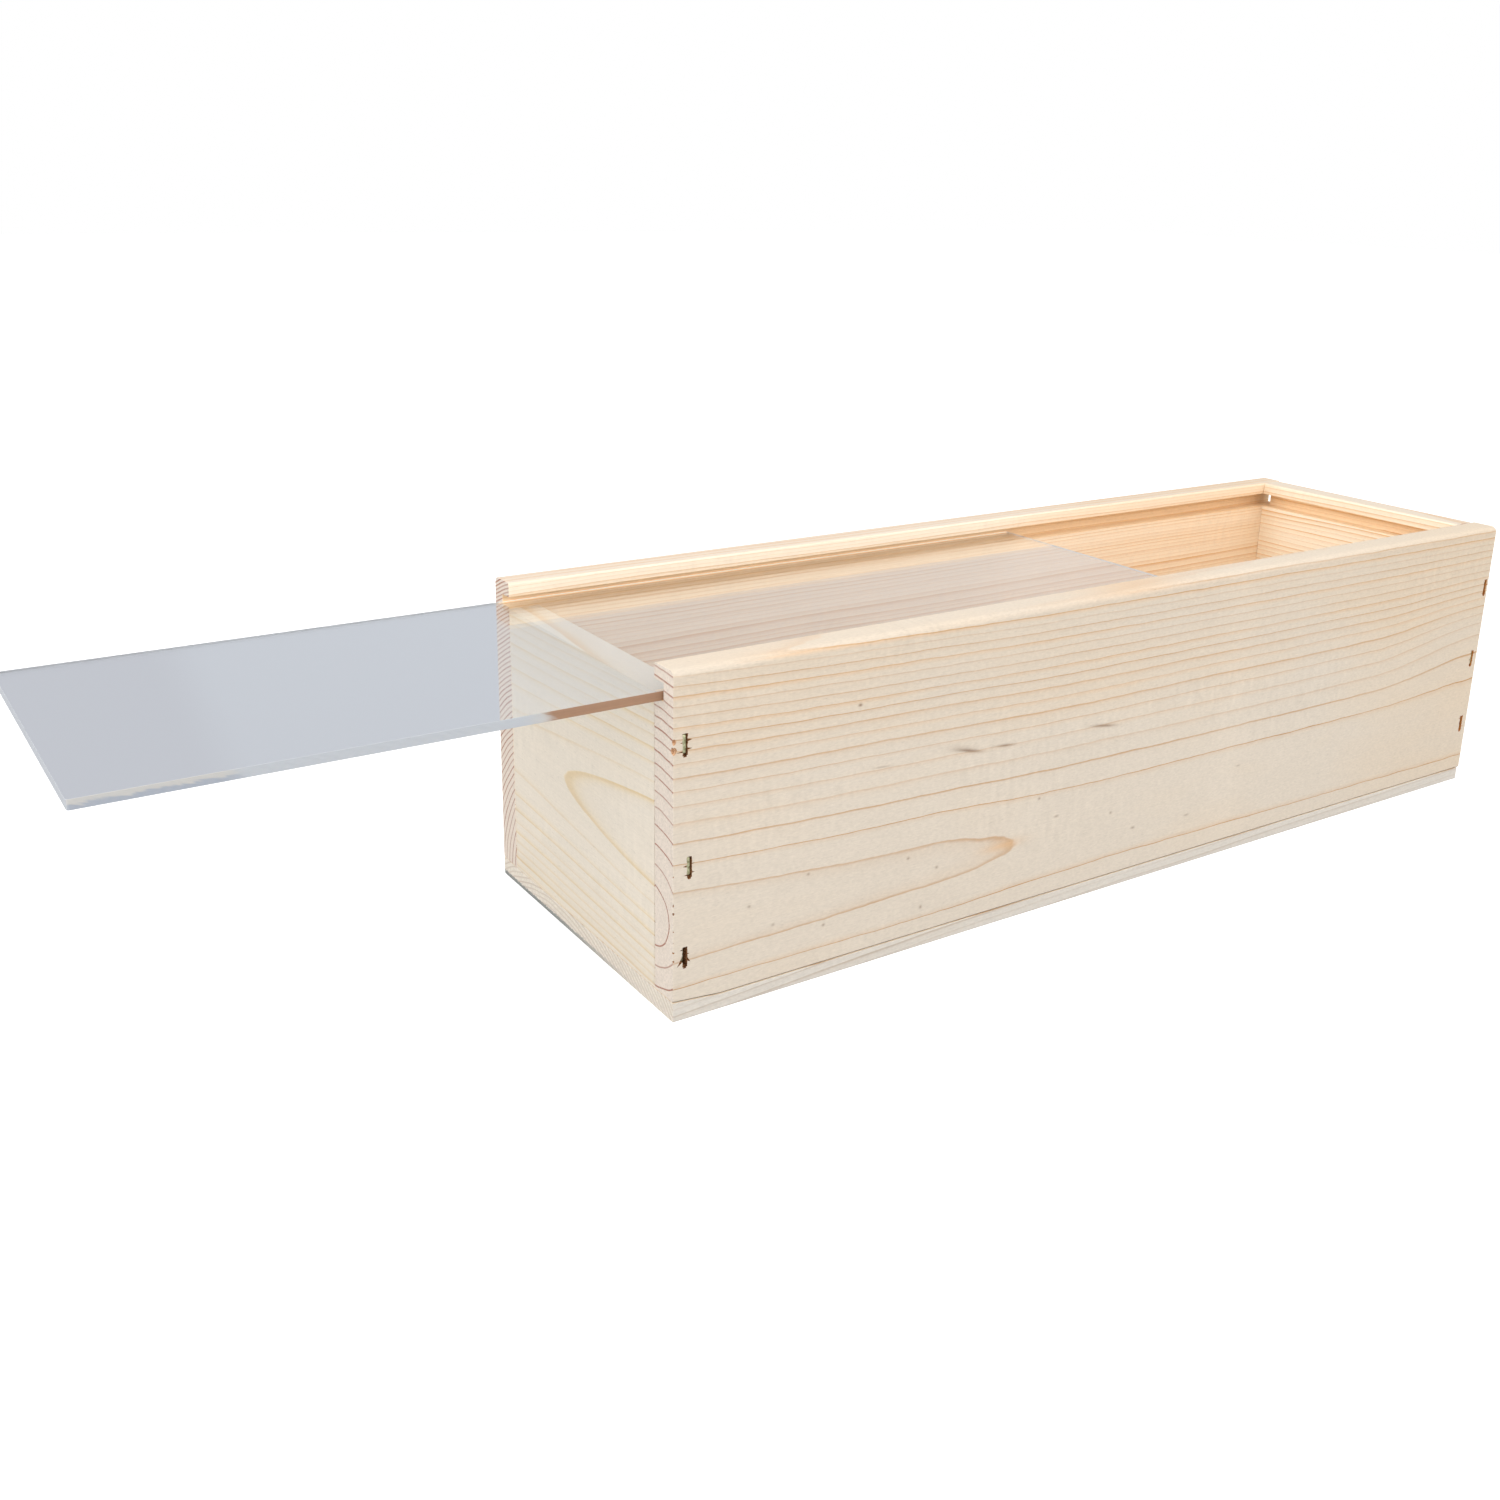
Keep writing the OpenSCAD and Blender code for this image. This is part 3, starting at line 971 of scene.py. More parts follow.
# Painted reflections, highlight and glow of the sheet's sawn edges.
SHEET_EDGE = SheetEdgeFinish(
    "sheet_edge",
    brown=paint(164, 127, 100),
    grey=paint(188, 192, 197),
    pale=paint(196, 194, 190),
    shade=paint(166, 172, 182),
    rest=paint(186, 189, 193),
    groove=paint(236, 196, 150),
    glow=paint(226, 214, 186),
    gleam=paint(255, 252, 248),
    inner=paint(226, 222, 219),
)
PAPER = PaperFinish("pale_paper")


# ---- Shaping tools ----


PartTest = Callable[[Sequence[Vector], Vector], bool]


class Bench:
    """Hand tools: adding, cutting, bevelling and joining meshes through Blender's own operators."""

    @staticmethod
    def clear() -> None:
        """Leaves edit mode with nothing selected."""
        if bpy.context.object is not None and bpy.context.object.mode != "OBJECT":
            bpy.ops.object.mode_set(mode="OBJECT")
        bpy.ops.object.select_all(action="DESELECT")

    @staticmethod
    def take(piece: bpy.types.Object) -> None:
        """Selects one piece alone and makes it active."""
        Bench.clear()
        piece.select_set(True)
        bpy.context.view_layer.objects.active = piece

    @staticmethod
    def settle(piece: bpy.types.Object) -> None:
        """Puts a piece's place, turn and scale into its mesh."""
        Bench.take(piece)
        bpy.ops.object.transform_apply(location=True, rotation=True, scale=True)

    @staticmethod
    def named(name: str) -> bpy.types.Object:
        """Names the active object and its mesh."""
        made = bpy.context.object
        made.name = made.data.name = name
        return made

    @staticmethod
    def block(name: str, low: Sequence[float], high: Sequence[float]) -> bpy.types.Object:
        """Adds a block between two corners in millimetres, with its place in its mesh."""
        Bench.clear()
        low_m, high_m = Vector(low) * MM, Vector(high) * MM
        bpy.ops.mesh.primitive_cube_add(size=1, location=(low_m + high_m) / 2, scale=high_m - low_m)
        made = Bench.named(name)
        Bench.settle(made)
        return made

    @staticmethod
    def panel(name: str, centre: Corner, turn: Corner, size: tuple[float, float]) -> bpy.types.Object:
        """Adds a flat sheet of the given centre, turn in degrees and size, to be shaped and extruded."""
        Bench.clear()
        turned = [math.radians(t) for t in turn]
        bpy.ops.mesh.primitive_plane_add(size=1, location=Vector(centre) * MM, rotation=turned)
        made = Bench.named(name)
        made.scale = (size[0] * MM, size[1] * MM, 1)
        Bench.settle(made)
        return made

    @staticmethod
    @contextmanager
    def editing(piece: bpy.types.Object, mode: str = "FACE") -> Iterator[None]:
        """Opens a piece in edit mode with everything selected, and closes it afterwards."""
        Bench.take(piece)
        bpy.ops.object.mode_set(mode="EDIT")
        bpy.ops.mesh.select_mode(type=mode)
        bpy.ops.mesh.select_all(action="SELECT")
        yield
        bpy.ops.object.mode_set(mode="OBJECT")

    @staticmethod
    def pick(piece: bpy.types.Object, kind: str, test: PartTest) -> None:
        """Selects parts of the mesh being edited.

        Args:
            piece: The piece in edit mode.
            kind: VERT, EDGE or FACE.
            test: Says whether a part is wanted, from its points in millimetres and its direction.
        """
        bpy.ops.mesh.select_mode(type=kind)
        bpy.ops.mesh.select_all(action="DESELECT")
        mesh = bmesh.from_edit_mesh(piece.data)
        mesh.normal_update()
        parts = {"VERT": mesh.verts, "EDGE": mesh.edges, "FACE": mesh.faces}[kind]
        for part in parts:
            points = [part.co / MM] if kind == "VERT" else [v.co / MM for v in part.verts]
            direction = (points[1] - points[0]).normalized() if kind == "EDGE" else part.normal
            if test(points, direction):
                part.select_set(True)
        mesh.select_flush_mode()
        bmesh.update_edit_mesh(piece.data)

    @staticmethod
    def slice(point: Sequence[float], normal: Corner) -> None:
        """Cuts a line right round the mesh being edited, along a plane."""
        bpy.ops.mesh.select_all(action="SELECT")
        bpy.ops.mesh.bisect(plane_co=Vector(point) * MM, plane_no=normal)

    @staticmethod
    def ease(piece: bpy.types.Object, radius: float, segments: int, corner: float = 60.0) -> None:
        """Rounds every edge of a piece sharper than corner degrees slightly, as sanding does."""
        with Bench.editing(piece, "EDGE"):
            bpy.ops.mesh.select_all(action="DESELECT")
            bpy.ops.mesh.edges_select_sharp(sharpness=math.radians(corner))
            bpy.ops.mesh.bevel(offset=radius * MM, segments=segments, clamp_overlap=True)

    @staticmethod
    def tidy(piece: bpy.types.Object) -> None:
        """Merges doubles, drops needless edges on flats and turns all faces outwards."""
        with Bench.editing(piece, "VERT"):
            bpy.ops.mesh.remove_doubles(threshold=0.00001)
            bpy.ops.mesh.dissolve_limited(angle_limit=math.radians(0.2))
            bpy.ops.mesh.select_all(action="SELECT")
            bpy.ops.mesh.normals_make_consistent(inside=False)

    @staticmethod
    def join(pieces: Sequence[bpy.types.Object], name: str) -> bpy.types.Object:
        """Joins pieces into one object."""
        Bench.take(pieces[0])
        for piece in pieces:
            piece.select_set(True)
        if len(pieces) > 1:
            bpy.ops.object.join()
        return Bench.named(name)

    @staticmethod
    def copy(piece: bpy.types.Object, matrix: Matrix) -> bpy.types.Object:
        """Copies a piece with its own mesh and puts the copy where a matrix says."""
        Bench.take(piece)
        bpy.ops.object.duplicate(linked=False)
        made = bpy.context.object
        made.matrix_world = matrix
        Bench.settle(made)
        return made

    @staticmethod
    def combine(piece: bpy.types.Object, other: bpy.types.Object, operation: str) -> None:
        """Cuts a closed shape out of a piece or welds it on, keeping its faces' material, and removes it."""
        Bench.take(piece)
        modifier = piece.modifiers.new("combine", "BOOLEAN")
        modifier.operation = operation
        modifier.solver = "MANIFOLD"
        modifier.material_mode = "TRANSFER"
        modifier.object = other
        bpy.ops.object.modifier_apply(modifier=modifier.name)
        bpy.data.objects.remove(other, do_unlink=True)

    @staticmethod
    def roughen(piece: bpy.types.Object, cuts: Sequence[int], offset: float, seed: int) -> None:
        """Divides a block's edges and shakes its points.

        Args:
            piece: The block, with its edges along the axes.
            cuts: How many new points each edge gets, by axis.
            offset: How far a point may move, in millimetres.
            seed: Picks the random numbers.
        """
        with Bench.editing(piece, "EDGE"):
            for axis, count in enumerate(cuts):
                Bench.pick(piece, "EDGE", lambda _, way, axis=axis: abs(way[axis]) > 0.99)
                bpy.ops.mesh.subdivide(number_cuts=count)
            bpy.ops.mesh.select_all(action="SELECT")
            bpy.ops.transform.vertex_random(offset=offset * MM, uniform=1.0, seed=seed)

    @staticmethod
    def shade(piece: bpy.types.Object, corner: float = 32.0) -> None:
        """Shades rounds smoothly and keeps flats flat."""
        Bench.take(piece)
        bpy.ops.object.shade_smooth_by_angle(angle=math.radians(corner))
        modifier = piece.modifiers.new("flats", "WEIGHTED_NORMAL")
        modifier.keep_sharp = True
        bpy.ops.object.modifier_apply(modifier=modifier.name)


# ---- Pieces ----


# How near a point has to be to a plane to count as lying on it, in millimetres.
TOUCH = 0.01


@dataclass(frozen=True)
class BoxSizes:
    """The driving sizes of the joinery, beside those read from the frame."""

    lip: float = 4.6
    groove: float = 4.9
    groove_depth: float = 4.8
    outer_ease: float = 2.2
    inner_ease: float = 0.9
    arris: float = 0.3
    seam: float = 0.5
    bottom: float = 4.5
    toe_rise: float = 1.4
    toe_run: float = 15.0


def frame_box(node: str) -> tuple[Vector, Vector]:
    """Lowest and highest corner of a CAD node, in millimetres."""
    low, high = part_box(node)
    return low / MM, high / MM


@dataclass
class Piece:
    """One piece of the object that stands for CAD nodes and rides on a body."""

    name: str
    nodes: tuple[str, ...]
    body: str
    slot: str
    shape: Optional[bpy.types.Object] = field(default=None, init=False)

    def corners(self) -> tuple[Vector, Vector]:
        """Lowest and highest corner of the piece's first CAD node, in millimetres."""
        return frame_box(self.nodes[0])

    def hand_over(self) -> None:
        """Ties the finished piece to the frame and reports it."""
        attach(self.shape, self.body)
        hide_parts(*self.nodes)
        nodes, faces = ", ".join(self.nodes), len(self.shape.data.polygons)
        log.info("%s rides on %s, stands for %s, %d faces", self.name, self.body, nodes, faces)


@dataclass
class Board(Piece):
    """A pine board, with helpers that all boards share."""

    finish: PineFinish
    sizes: BoxSizes
    cutters: list[bpy.types.Object] = field(default_factory=list, init=False)

    def carve(self) -> None:
        """Cuts everything out of the board that was laid ready for it, all in one go."""
        Bench.combine(self.shape, Bench.join(self.cutters, f"{self.name}_tool"), "DIFFERENCE")
        self.cutters.clear()

    def finish_off(self) -> None:
        """Breaks the board's edges and puts the wood on it, before anything is cut from it."""
        Bench.ease(self.shape, self.sizes.arris, 2)
        self.shape.data.materials.clear()
        self.shape.data.materials.append(self.finish.material())

    def profile(
        self, outer: float, inner: float, foot: float, top: float, start: Corner, across: int
    ) -> None:
        """Draws a grooved upright board's end, ready to be pulled out to a solid.

        Args:
            outer: Place of the outer face on the thickness axis.
            inner: Place of the inner face on the thickness axis.
            foot: Height of the board's foot.
            top: Height of its top.
            start: A point on the plane of the drawing.
            across: Which axis the thickness lies along, 0 for X and 1 for Y.
        """
        sizes = self.sizes
        sign = 1 if inner > outer else -1
        centre = list(start)
        centre[across] = (outer + inner) / 2
        centre[2] = (foot + top) / 2
        height, thickness = top - foot, abs(inner - outer)
        turn, size = ((0, 90, 0), (height, thickness)) if across == 1 else ((90, 0, 0), (thickness, height))
        self.shape = Bench.panel(self.name, centre, turn, size)
        groove_top = top - sizes.lip
        groove_low = groove_top - sizes.groove
        groove_floor = inner - sign * sizes.groove_depth
        side, floor_point = [0.0] * 3, [0.0] * 3
        side[across] = 1.0
        floor_point[across] = groove_floor

        def in_groove(points: Sequence[Vector], _: Vector) -> bool:
            """Finds the patch of the drawing that the groove takes away."""
            middle = sum(points, Vector()) / len(points)
            return groove_low < middle.z < groove_top and sign * (middle[across] - groove_floor) > 0

        with Bench.editing(self.shape):
            Bench.slice((0, 0, groove_top), (0, 0, 1))
            Bench.slice((0, 0, groove_low), (0, 0, 1))
            Bench.slice(floor_point, side)
            Bench.pick(self.shape, "FACE", in_groove)
            bpy.ops.mesh.delete(type="FACE")
            for face, radius, segments in ((outer, sizes.outer_ease, 7), (inner, sizes.inner_ease, 4)):

                def at_corner(points: Sequence[Vector], _: Vector) -> bool:
                    """Finds the top corner of the drawing on one face."""
                    return abs(points[0].z - top) < TOUCH and abs(points[0][across] - face) < TOUCH

                Bench.pick(self.shape, "VERT", at_corner)
                bpy.ops.mesh.bevel(offset=radius * MM, segments=segments, affect="VERTICES")

    def pull(self, along: Corner) -> None:
        """Pulls the drawing out into a solid."""
        with Bench.editing(self.shape):
            bpy.ops.mesh.extrude_region_move(TRANSFORM_OT_translate={"value": Vector(along) * MM})
        Bench.tidy(self.shape)

    def break_foot(self, face: float, across: int, foot: float) -> None:
        """Planes a flat chamfer along the lower outer edge, which leaves the seam to the bottom board.

        Args:
            face: Place of the outer face.
            across: Which axis that face looks along, 0 for X and 1 for Y.
            foot: Height of the board's lowest edge.
        """
        highest = foot + self.sizes.toe_rise + TOUCH

        def at_foot(points: Sequence[Vector], direction: Vector) -> bool:
            """Finds the edges along the foot on that face."""
            runs_on = abs(direction[across]) < 0.01 and abs(direction.z) < 0.2
            return runs_on and all(abs(p[across] - face) < TOUCH and p.z < highest for p in points)

        with Bench.editing(self.shape, "EDGE"):
            Bench.pick(self.shape, "EDGE", at_foot)
            bpy.ops.mesh.bevel(offset=self.sizes.seam * MM, segments=1)

    def lift(self, level: float, open_end: float, rise: float) -> None:
        """Lifts the points of one level at the open end."""

        def at_toe(points: Sequence[Vector], _: Vector) -> bool:
            """Finds the points of that level at the open end."""
            return abs(points[0].z - level) < TOUCH and points[0].x < open_end + TOUCH

        Bench.pick(self.shape, "VERT", at_toe)
        bpy.ops.transform.translate(value=(0, 0, rise * MM))

    def raise_toe(self, level: float, open_end: float) -> None:
        """Slopes the faces at one level up towards the open end, where the bottom board thickens."""
        with Bench.editing(self.shape):
            Bench.slice((open_end + self.sizes.toe_run, 0, 0), (1, 0, 0))
            self.lift(level, open_end, self.sizes.toe_rise)


@dataclass
class SideBoard(Board):
    """A full-length side board with the lid's groove along its inner face."""

    def build(self) -> None:
        """Shapes the board."""
        low, high = self.corners()
        outer, inner = (low.y, high.y) if low.y < 0 else (high.y, low.y)
        self.profile(outer, inner, low.z, high.z, (low.x, 0, 0), 1)
        self.pull((high.x - low.x, 0, 0))
        self.raise_toe(low.z, low.x)
        self.break_foot(outer, 1, low.z)
        self.finish_off()


@dataclass
class LowEndBoard(Board):
    """The low board that closes the open end under the lid."""

    def build(self) -> None:
        """Shapes the board, with its foot sloped like the side boards' toes."""
        low, high = self.corners()
        self.shape = Bench.block(self.name, low, high)
        with Bench.editing(self.shape):
            self.lift(low.z, low.x, self.sizes.toe_rise * (high.x - low.x) / self.sizes.toe_run)
        self.finish_off()


@dataclass
class TallEndBoard(Board):
    """The full-height board at the back, grooved across its inner face."""

    def build(self) -> None:
        """Shapes the board."""
        low, high = self.corners()
        self.profile(high.x, low.x, low.z, high.z, (0, low.y, 0), 0)
        self.pull((0, high.y - low.y, 0))
        self.break_foot(high.x, 0, low.z)
        self.finish_off()


@dataclass
class BottomBoard(Board):
    """The thin board under the four uprights."""

    def build(self) -> None:
        """Shapes the board."""
        low, high = self.corners()
        self.shape = Bench.block(self.name, low, (high.x, high.y, self.sizes.bottom))
        self.raise_toe(self.sizes.bottom, low.x)
        self.finish_off()


@dataclass(frozen=True)
class Tear:
    """A pointed tear that runs from a staple's slot, leaning from the grain by some degrees."""

    place: float
    reach: float
    width: float
    lean: float = 0.0


NEAR_TEARS = (
    (Tear(0.1, -2.8, 1.9, -48.0), Tear(-0.2, 1.5, 1.5, 42.0), Tear(2.2, -0.8, 0.8), Tear(0.8, 0.7, 0.7)),
    (Tear(0.4, -1.2, 1.0), Tear(-1.6, 0.9, 0.7), Tear(-2.2, -0.9, 0.7), Tear(0.9, 0.8, 0.6)),
    (Tear(-1.9, -1.9, 0.6), Tear(1.2, 1.3, 1.2), Tear(-1.2, 1.3, 1.0), Tear(0.6, -0.8, 0.7)),
)
FAR_TEARS = (
    (Tear(2.1, -0.9, 0.6), Tear(-1.4, 1.1, 0.6)),
    (Tear(-0.6, -1.0, 0.7), Tear(1.8, 0.9, 0.5)),
    (Tear(0.9, 1.2, 0.6), Tear(-2.3, -0.8, 0.6)),
)


@dataclass
class StapleRow(Piece):
    """Staples of one corner or edge, with the torn slots they were driven into."""

    inward: Corner
    crown: Corner
    tears: tuple[tuple[Tear, ...], ...]
    pit: float
    seed: int
    wire: float = 1.05
    bend: float = 0.9
    slot_play: float = 0.14
    end_play: float = 0.08
    leg_play: float = 0.02
    tear_depth: float = 2.2
    proud: float = 0.6
    shake: float = 0.13
    pit_shake: float = 0.12
    # The least gap between two staples, and the new points on each edge of a slot and of a pit.
    GAP = 5.0
    SLOT_CUTS = (9, 2, 2)
    PIT_CUTS = (3, 2, 1)

    def boxes(self) -> list[tuple[Vector, Vector]]:
        """Finds each staple of the CAD node by the gaps along the row.

        Returns:
            The lowest and highest corner of each staple, in millimetres.
        """
        axis = self.crown.index(1)
        points = [v.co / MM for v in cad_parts[self.nodes[0]].data.vertices]
        points.sort(key=lambda point: point[axis])
        groups = [[points[0]]]
        for before, after in zip(points, points[1:]):
            if after[axis] - before[axis] > self.GAP:
                groups.append([])
            groups[-1].append(after)
        return [(Vector(map(min, zip(*group))), Vector(map(max, zip(*group)))) for group in groups]

    def _axes(self) -> tuple[Vector, Vector, Vector]:
        """The directions of the crown, of the wire's width and of the legs."""
        crown, leg = Vector(self.crown), Vector(self.inward)
        return crown, leg.cross(crown), leg

    def seats(self) -> list[Matrix]:
        """Where each staple sits: crown along its X, legs along its Z, outside of the crown at its origin."""
        leg = Vector(self.inward)
        turn = Matrix(self._axes()).transposed().to_4x4()
        found = []
        for low, high in self.boxes():
            depth = abs((high - low).dot(leg)) / 2
            origin = ((low + high) / 2 - leg * depth) * MM
            found.append(Matrix.Translation(origin) @ turn)
        return found

    def size(self) -> tuple[float, ...]:
        """Crown width, wire width and leg length, from the CAD node."""
        low, high = self.boxes()[0]
        return tuple(abs((high - low).dot(axis)) for axis in self._axes())

    def build(self, steel: bpy.types.Material) -> None:
        """Bends one staple from wire and copies it to every seat.

        Args:
            steel: The material of the wire.
        """
        crown, width, leg = self.size()
        shoulder = crown / 2 - self.wire

        def at_legs(points: Sequence[Vector], normal: Vector) -> bool:
            """Finds the two faces that the legs grow from."""
            middle = sum(points, Vector()) / len(points)
            return normal.z > 0.9 and abs(middle.x) > shoulder

        def at_bend(points: Sequence[Vector], direction: Vector) -> bool:
            """Finds the two outer edges of the bends."""
            at_end = all(p.z < TOUCH and abs(p.x) > crown / 2 - TOUCH for p in points)
            return at_end and abs(direction.y) > 0.9

        wire = Bench.block("staple_wire", (-crown / 2, -width / 2, 0), (crown / 2, width / 2, self.wire))
        with Bench.editing(wire):
            for side in (-1, 1):
                Bench.slice((side * shoulder, 0, 0), (1, 0, 0))
            Bench.pick(wire, "FACE", at_legs)
            legs = {"value": (0, 0, (leg - self.wire) * MM)}
            bpy.ops.mesh.extrude_region_move(TRANSFORM_OT_translate=legs)
            Bench.pick(wire, "EDGE", at_bend)
            bpy.ops.mesh.bevel(offset=self.bend * MM, segments=6)
        Bench.ease(wire, self.wire * 0.3, 3, 50.0)
        wire.data.materials.append(steel)
        self.shape = Bench.join([Bench.copy(wire, seat) for seat in self.seats()], self.name)
        Bench.shade(self.shape, 40.0)
        bpy.data.objects.remove(wire, do_unlink=True)

    def tool(self, seat: Matrix, sunk: float, number: int, torn: bpy.types.Material) -> bpy.types.Object:
        """Shapes the ragged slot and the two leg holes that one staple made.

        Args:
            seat: Where the staple sits.
            sunk: How deep its crown lies.
            number: Which staple of the row it is.
            torn: The material of the slot's inside.

        Returns:
            One closed shape that is cut away.
        """
        crown, width, leg = self.size()
        half, side = crown / 2 + self.end_play, width / 2 + self.slot_play
        above, below = -sunk - self.proud, self.wire * 0.8
        seed = self.seed * 50 + number * 10
        whole = Bench.block("slot", (-half, -side, above), (half, side, below))
        Bench.roughen(whole, self.SLOT_CUTS, self.shake, seed)
        floor = min(below - 0.2, 1.0 - sunk)
        pit_low = (-half - self.pit, -side * 0.65, above + 0.1)
        pit = Bench.block("pit", pit_low, (0.3 - half, side * 0.6, floor))
        Bench.roughen(pit, self.PIT_CUTS, self.pit_shake, seed + 1)
        parts = [pit]
        for tear in self.tears[number % len(self.tears)]:
            parts.append(self._tear(tear, side, sunk))
        play = self.leg_play
        for way in (-1, 1):
            middle = way * (crown - self.wire) / 2
            low = (middle - self.wire / 2 - play, -width / 2 - play, self.wire * 0.3)
            high = (middle + self.wire / 2 + play, width / 2 + play, leg + play)
            parts.append(Bench.block("leg_hole", low, high))
        for part in (whole, *parts):
            part.data.materials.append(torn)
        for part in parts:
            Bench.combine(whole, part, "UNION")
        whole.matrix_world = seat @ whole.matrix_world
        Bench.settle(whole)
        return whole

    def _tear(self, tear: Tear, side: float, sunk: float) -> bpy.types.Object:
        """Shapes one pointed tear as a five-sided spike lying in the board's face."""
        Bench.clear()
        way = 1 if tear.reach > 0 else -1
        long = abs(tear.reach) + side * 0.6
        lean = math.radians(tear.lean)
        out = way * (side * 0.4 + long / 2)
        bpy.ops.mesh.primitive_cone_add(
            vertices=5,
            radius1=tear.width / 2 * MM,
            radius2=0.02 * MM,
            depth=long * MM,
            location=((tear.place - out * math.sin(lean)) * MM, out * math.cos(lean) * MM, -sunk * MM),
            rotation=(math.radians(-90 * way), 0, lean),
        )
        made = bpy.context.object
        made.scale = (1.0, self.tear_depth, 1.0)
        Bench.settle(made)
        return made

    def drive(self, outside: Board, inside: Board, face: float, torn: bpy.types.Material) -> None:
        """Lays the row's slots and leg holes ready to be cut into the boards it holds.

        Args:
            outside: The board whose face the crowns lie in.
            inside: The board that only the legs reach.
            face: Place of that face along the inward direction, in millimetres.
            torn: The material of torn wood.
        """
        leg = Vector(self.inward)
        tools = []
        for number, seat in enumerate(self.seats()):
            sunk = seat.translation.dot(leg) / MM - face
            tools.append(self.tool(seat, sunk, number, torn))
        whole = Bench.join(tools, "staple_tool")
        inside.cutters.append(Bench.copy(whole, whole.matrix_world))
        outside.cutters.append(whole)


@dataclass
class ChippedEdge:
    """Small chips that the saw broke out of an upright edge of a board's end."""

    corner: Corner
    top: float
    count: int
    largest: float
    seed: int

    def cut_from(self, board: Board, chipped: bpy.types.Material) -> None:
        """Lays the chips ready to be broken out of a board.

        Args:
            board: The board.
            chipped: The material of the broken wood.
        """
        draw = random.Random(self.seed)
        step = (self.top - self.corner[2]) / self.count
        for number in range(self.count):
            height = self.corner[2] + step * (number + draw.uniform(0.35, 0.65))
            size = draw.uniform(0.35, 1.0) * self.largest
            Bench.clear()
            bpy.ops.mesh.primitive_ico_sphere_add(
                subdivisions=2,
                radius=size * MM,
                location=(self.corner[0] * MM, self.corner[1] * MM, height * MM),
                scale=(draw.uniform(0.7, 1.3), draw.uniform(0.5, 0.9), draw.uniform(0.5, 1.4)),
            )
            chip = bpy.context.object
            Bench.settle(chip)
            with Bench.editing(chip, "VERT"):
                seed = draw.randrange(1000)
                bpy.ops.transform.vertex_random(offset=size * 0.25 * MM, uniform=1.0, seed=seed)
            chip.data.materials.append(chipped)
            board.cutters.append(chip)


@dataclass
class SlidingLid(Piece):
    """The clear sheet that slides in the grooves."""

    corner: float = 0.6
    arris: float = 0.06

    def build(self) -> None:
        """Cuts the sheet to size, clips its corners, breaks its edges and puts the plastic on it."""
        self.shape = Bench.block(self.name, *self.corners())
        with Bench.editing(self.shape):
            Bench.pick(self.shape, "EDGE", lambda _, way: abs(way.z) > 0.9)
            bpy.ops.mesh.bevel(offset=self.corner * MM, segments=2)
        Bench.ease(self.shape, self.arris, 1)
        mesh = self.shape.data
        mesh.materials.append(CLEAR_SHEET.material())
        mesh.materials.append(SHEET_EDGE.material())
        for face in mesh.polygons:
            face.material_index = 0 if abs(face.normal.z) > 0.9 else 1


# ---- Studio ----


@dataclass(frozen=True)
class Lamp:
    """A soft white lamp aimed at the box, in metres and watts."""

    name: str
    place: Corner
    size: float
    power: float

    def hang(self, target: Corner) -> None:
        """Adds the lamp as a square that looks at a target."""
        Bench.clear()
        bpy.ops.object.light_add(type="AREA", location=self.place)
        made = bpy.context.object
        made.name = self.name
        made.rotation_euler = (Vector(target) - Vector(self.place)).to_track_quat("-Z", "Y").to_euler()
        made.data.shape = "SQUARE"
        made.data.size = self.size
        made.data.energy = self.power


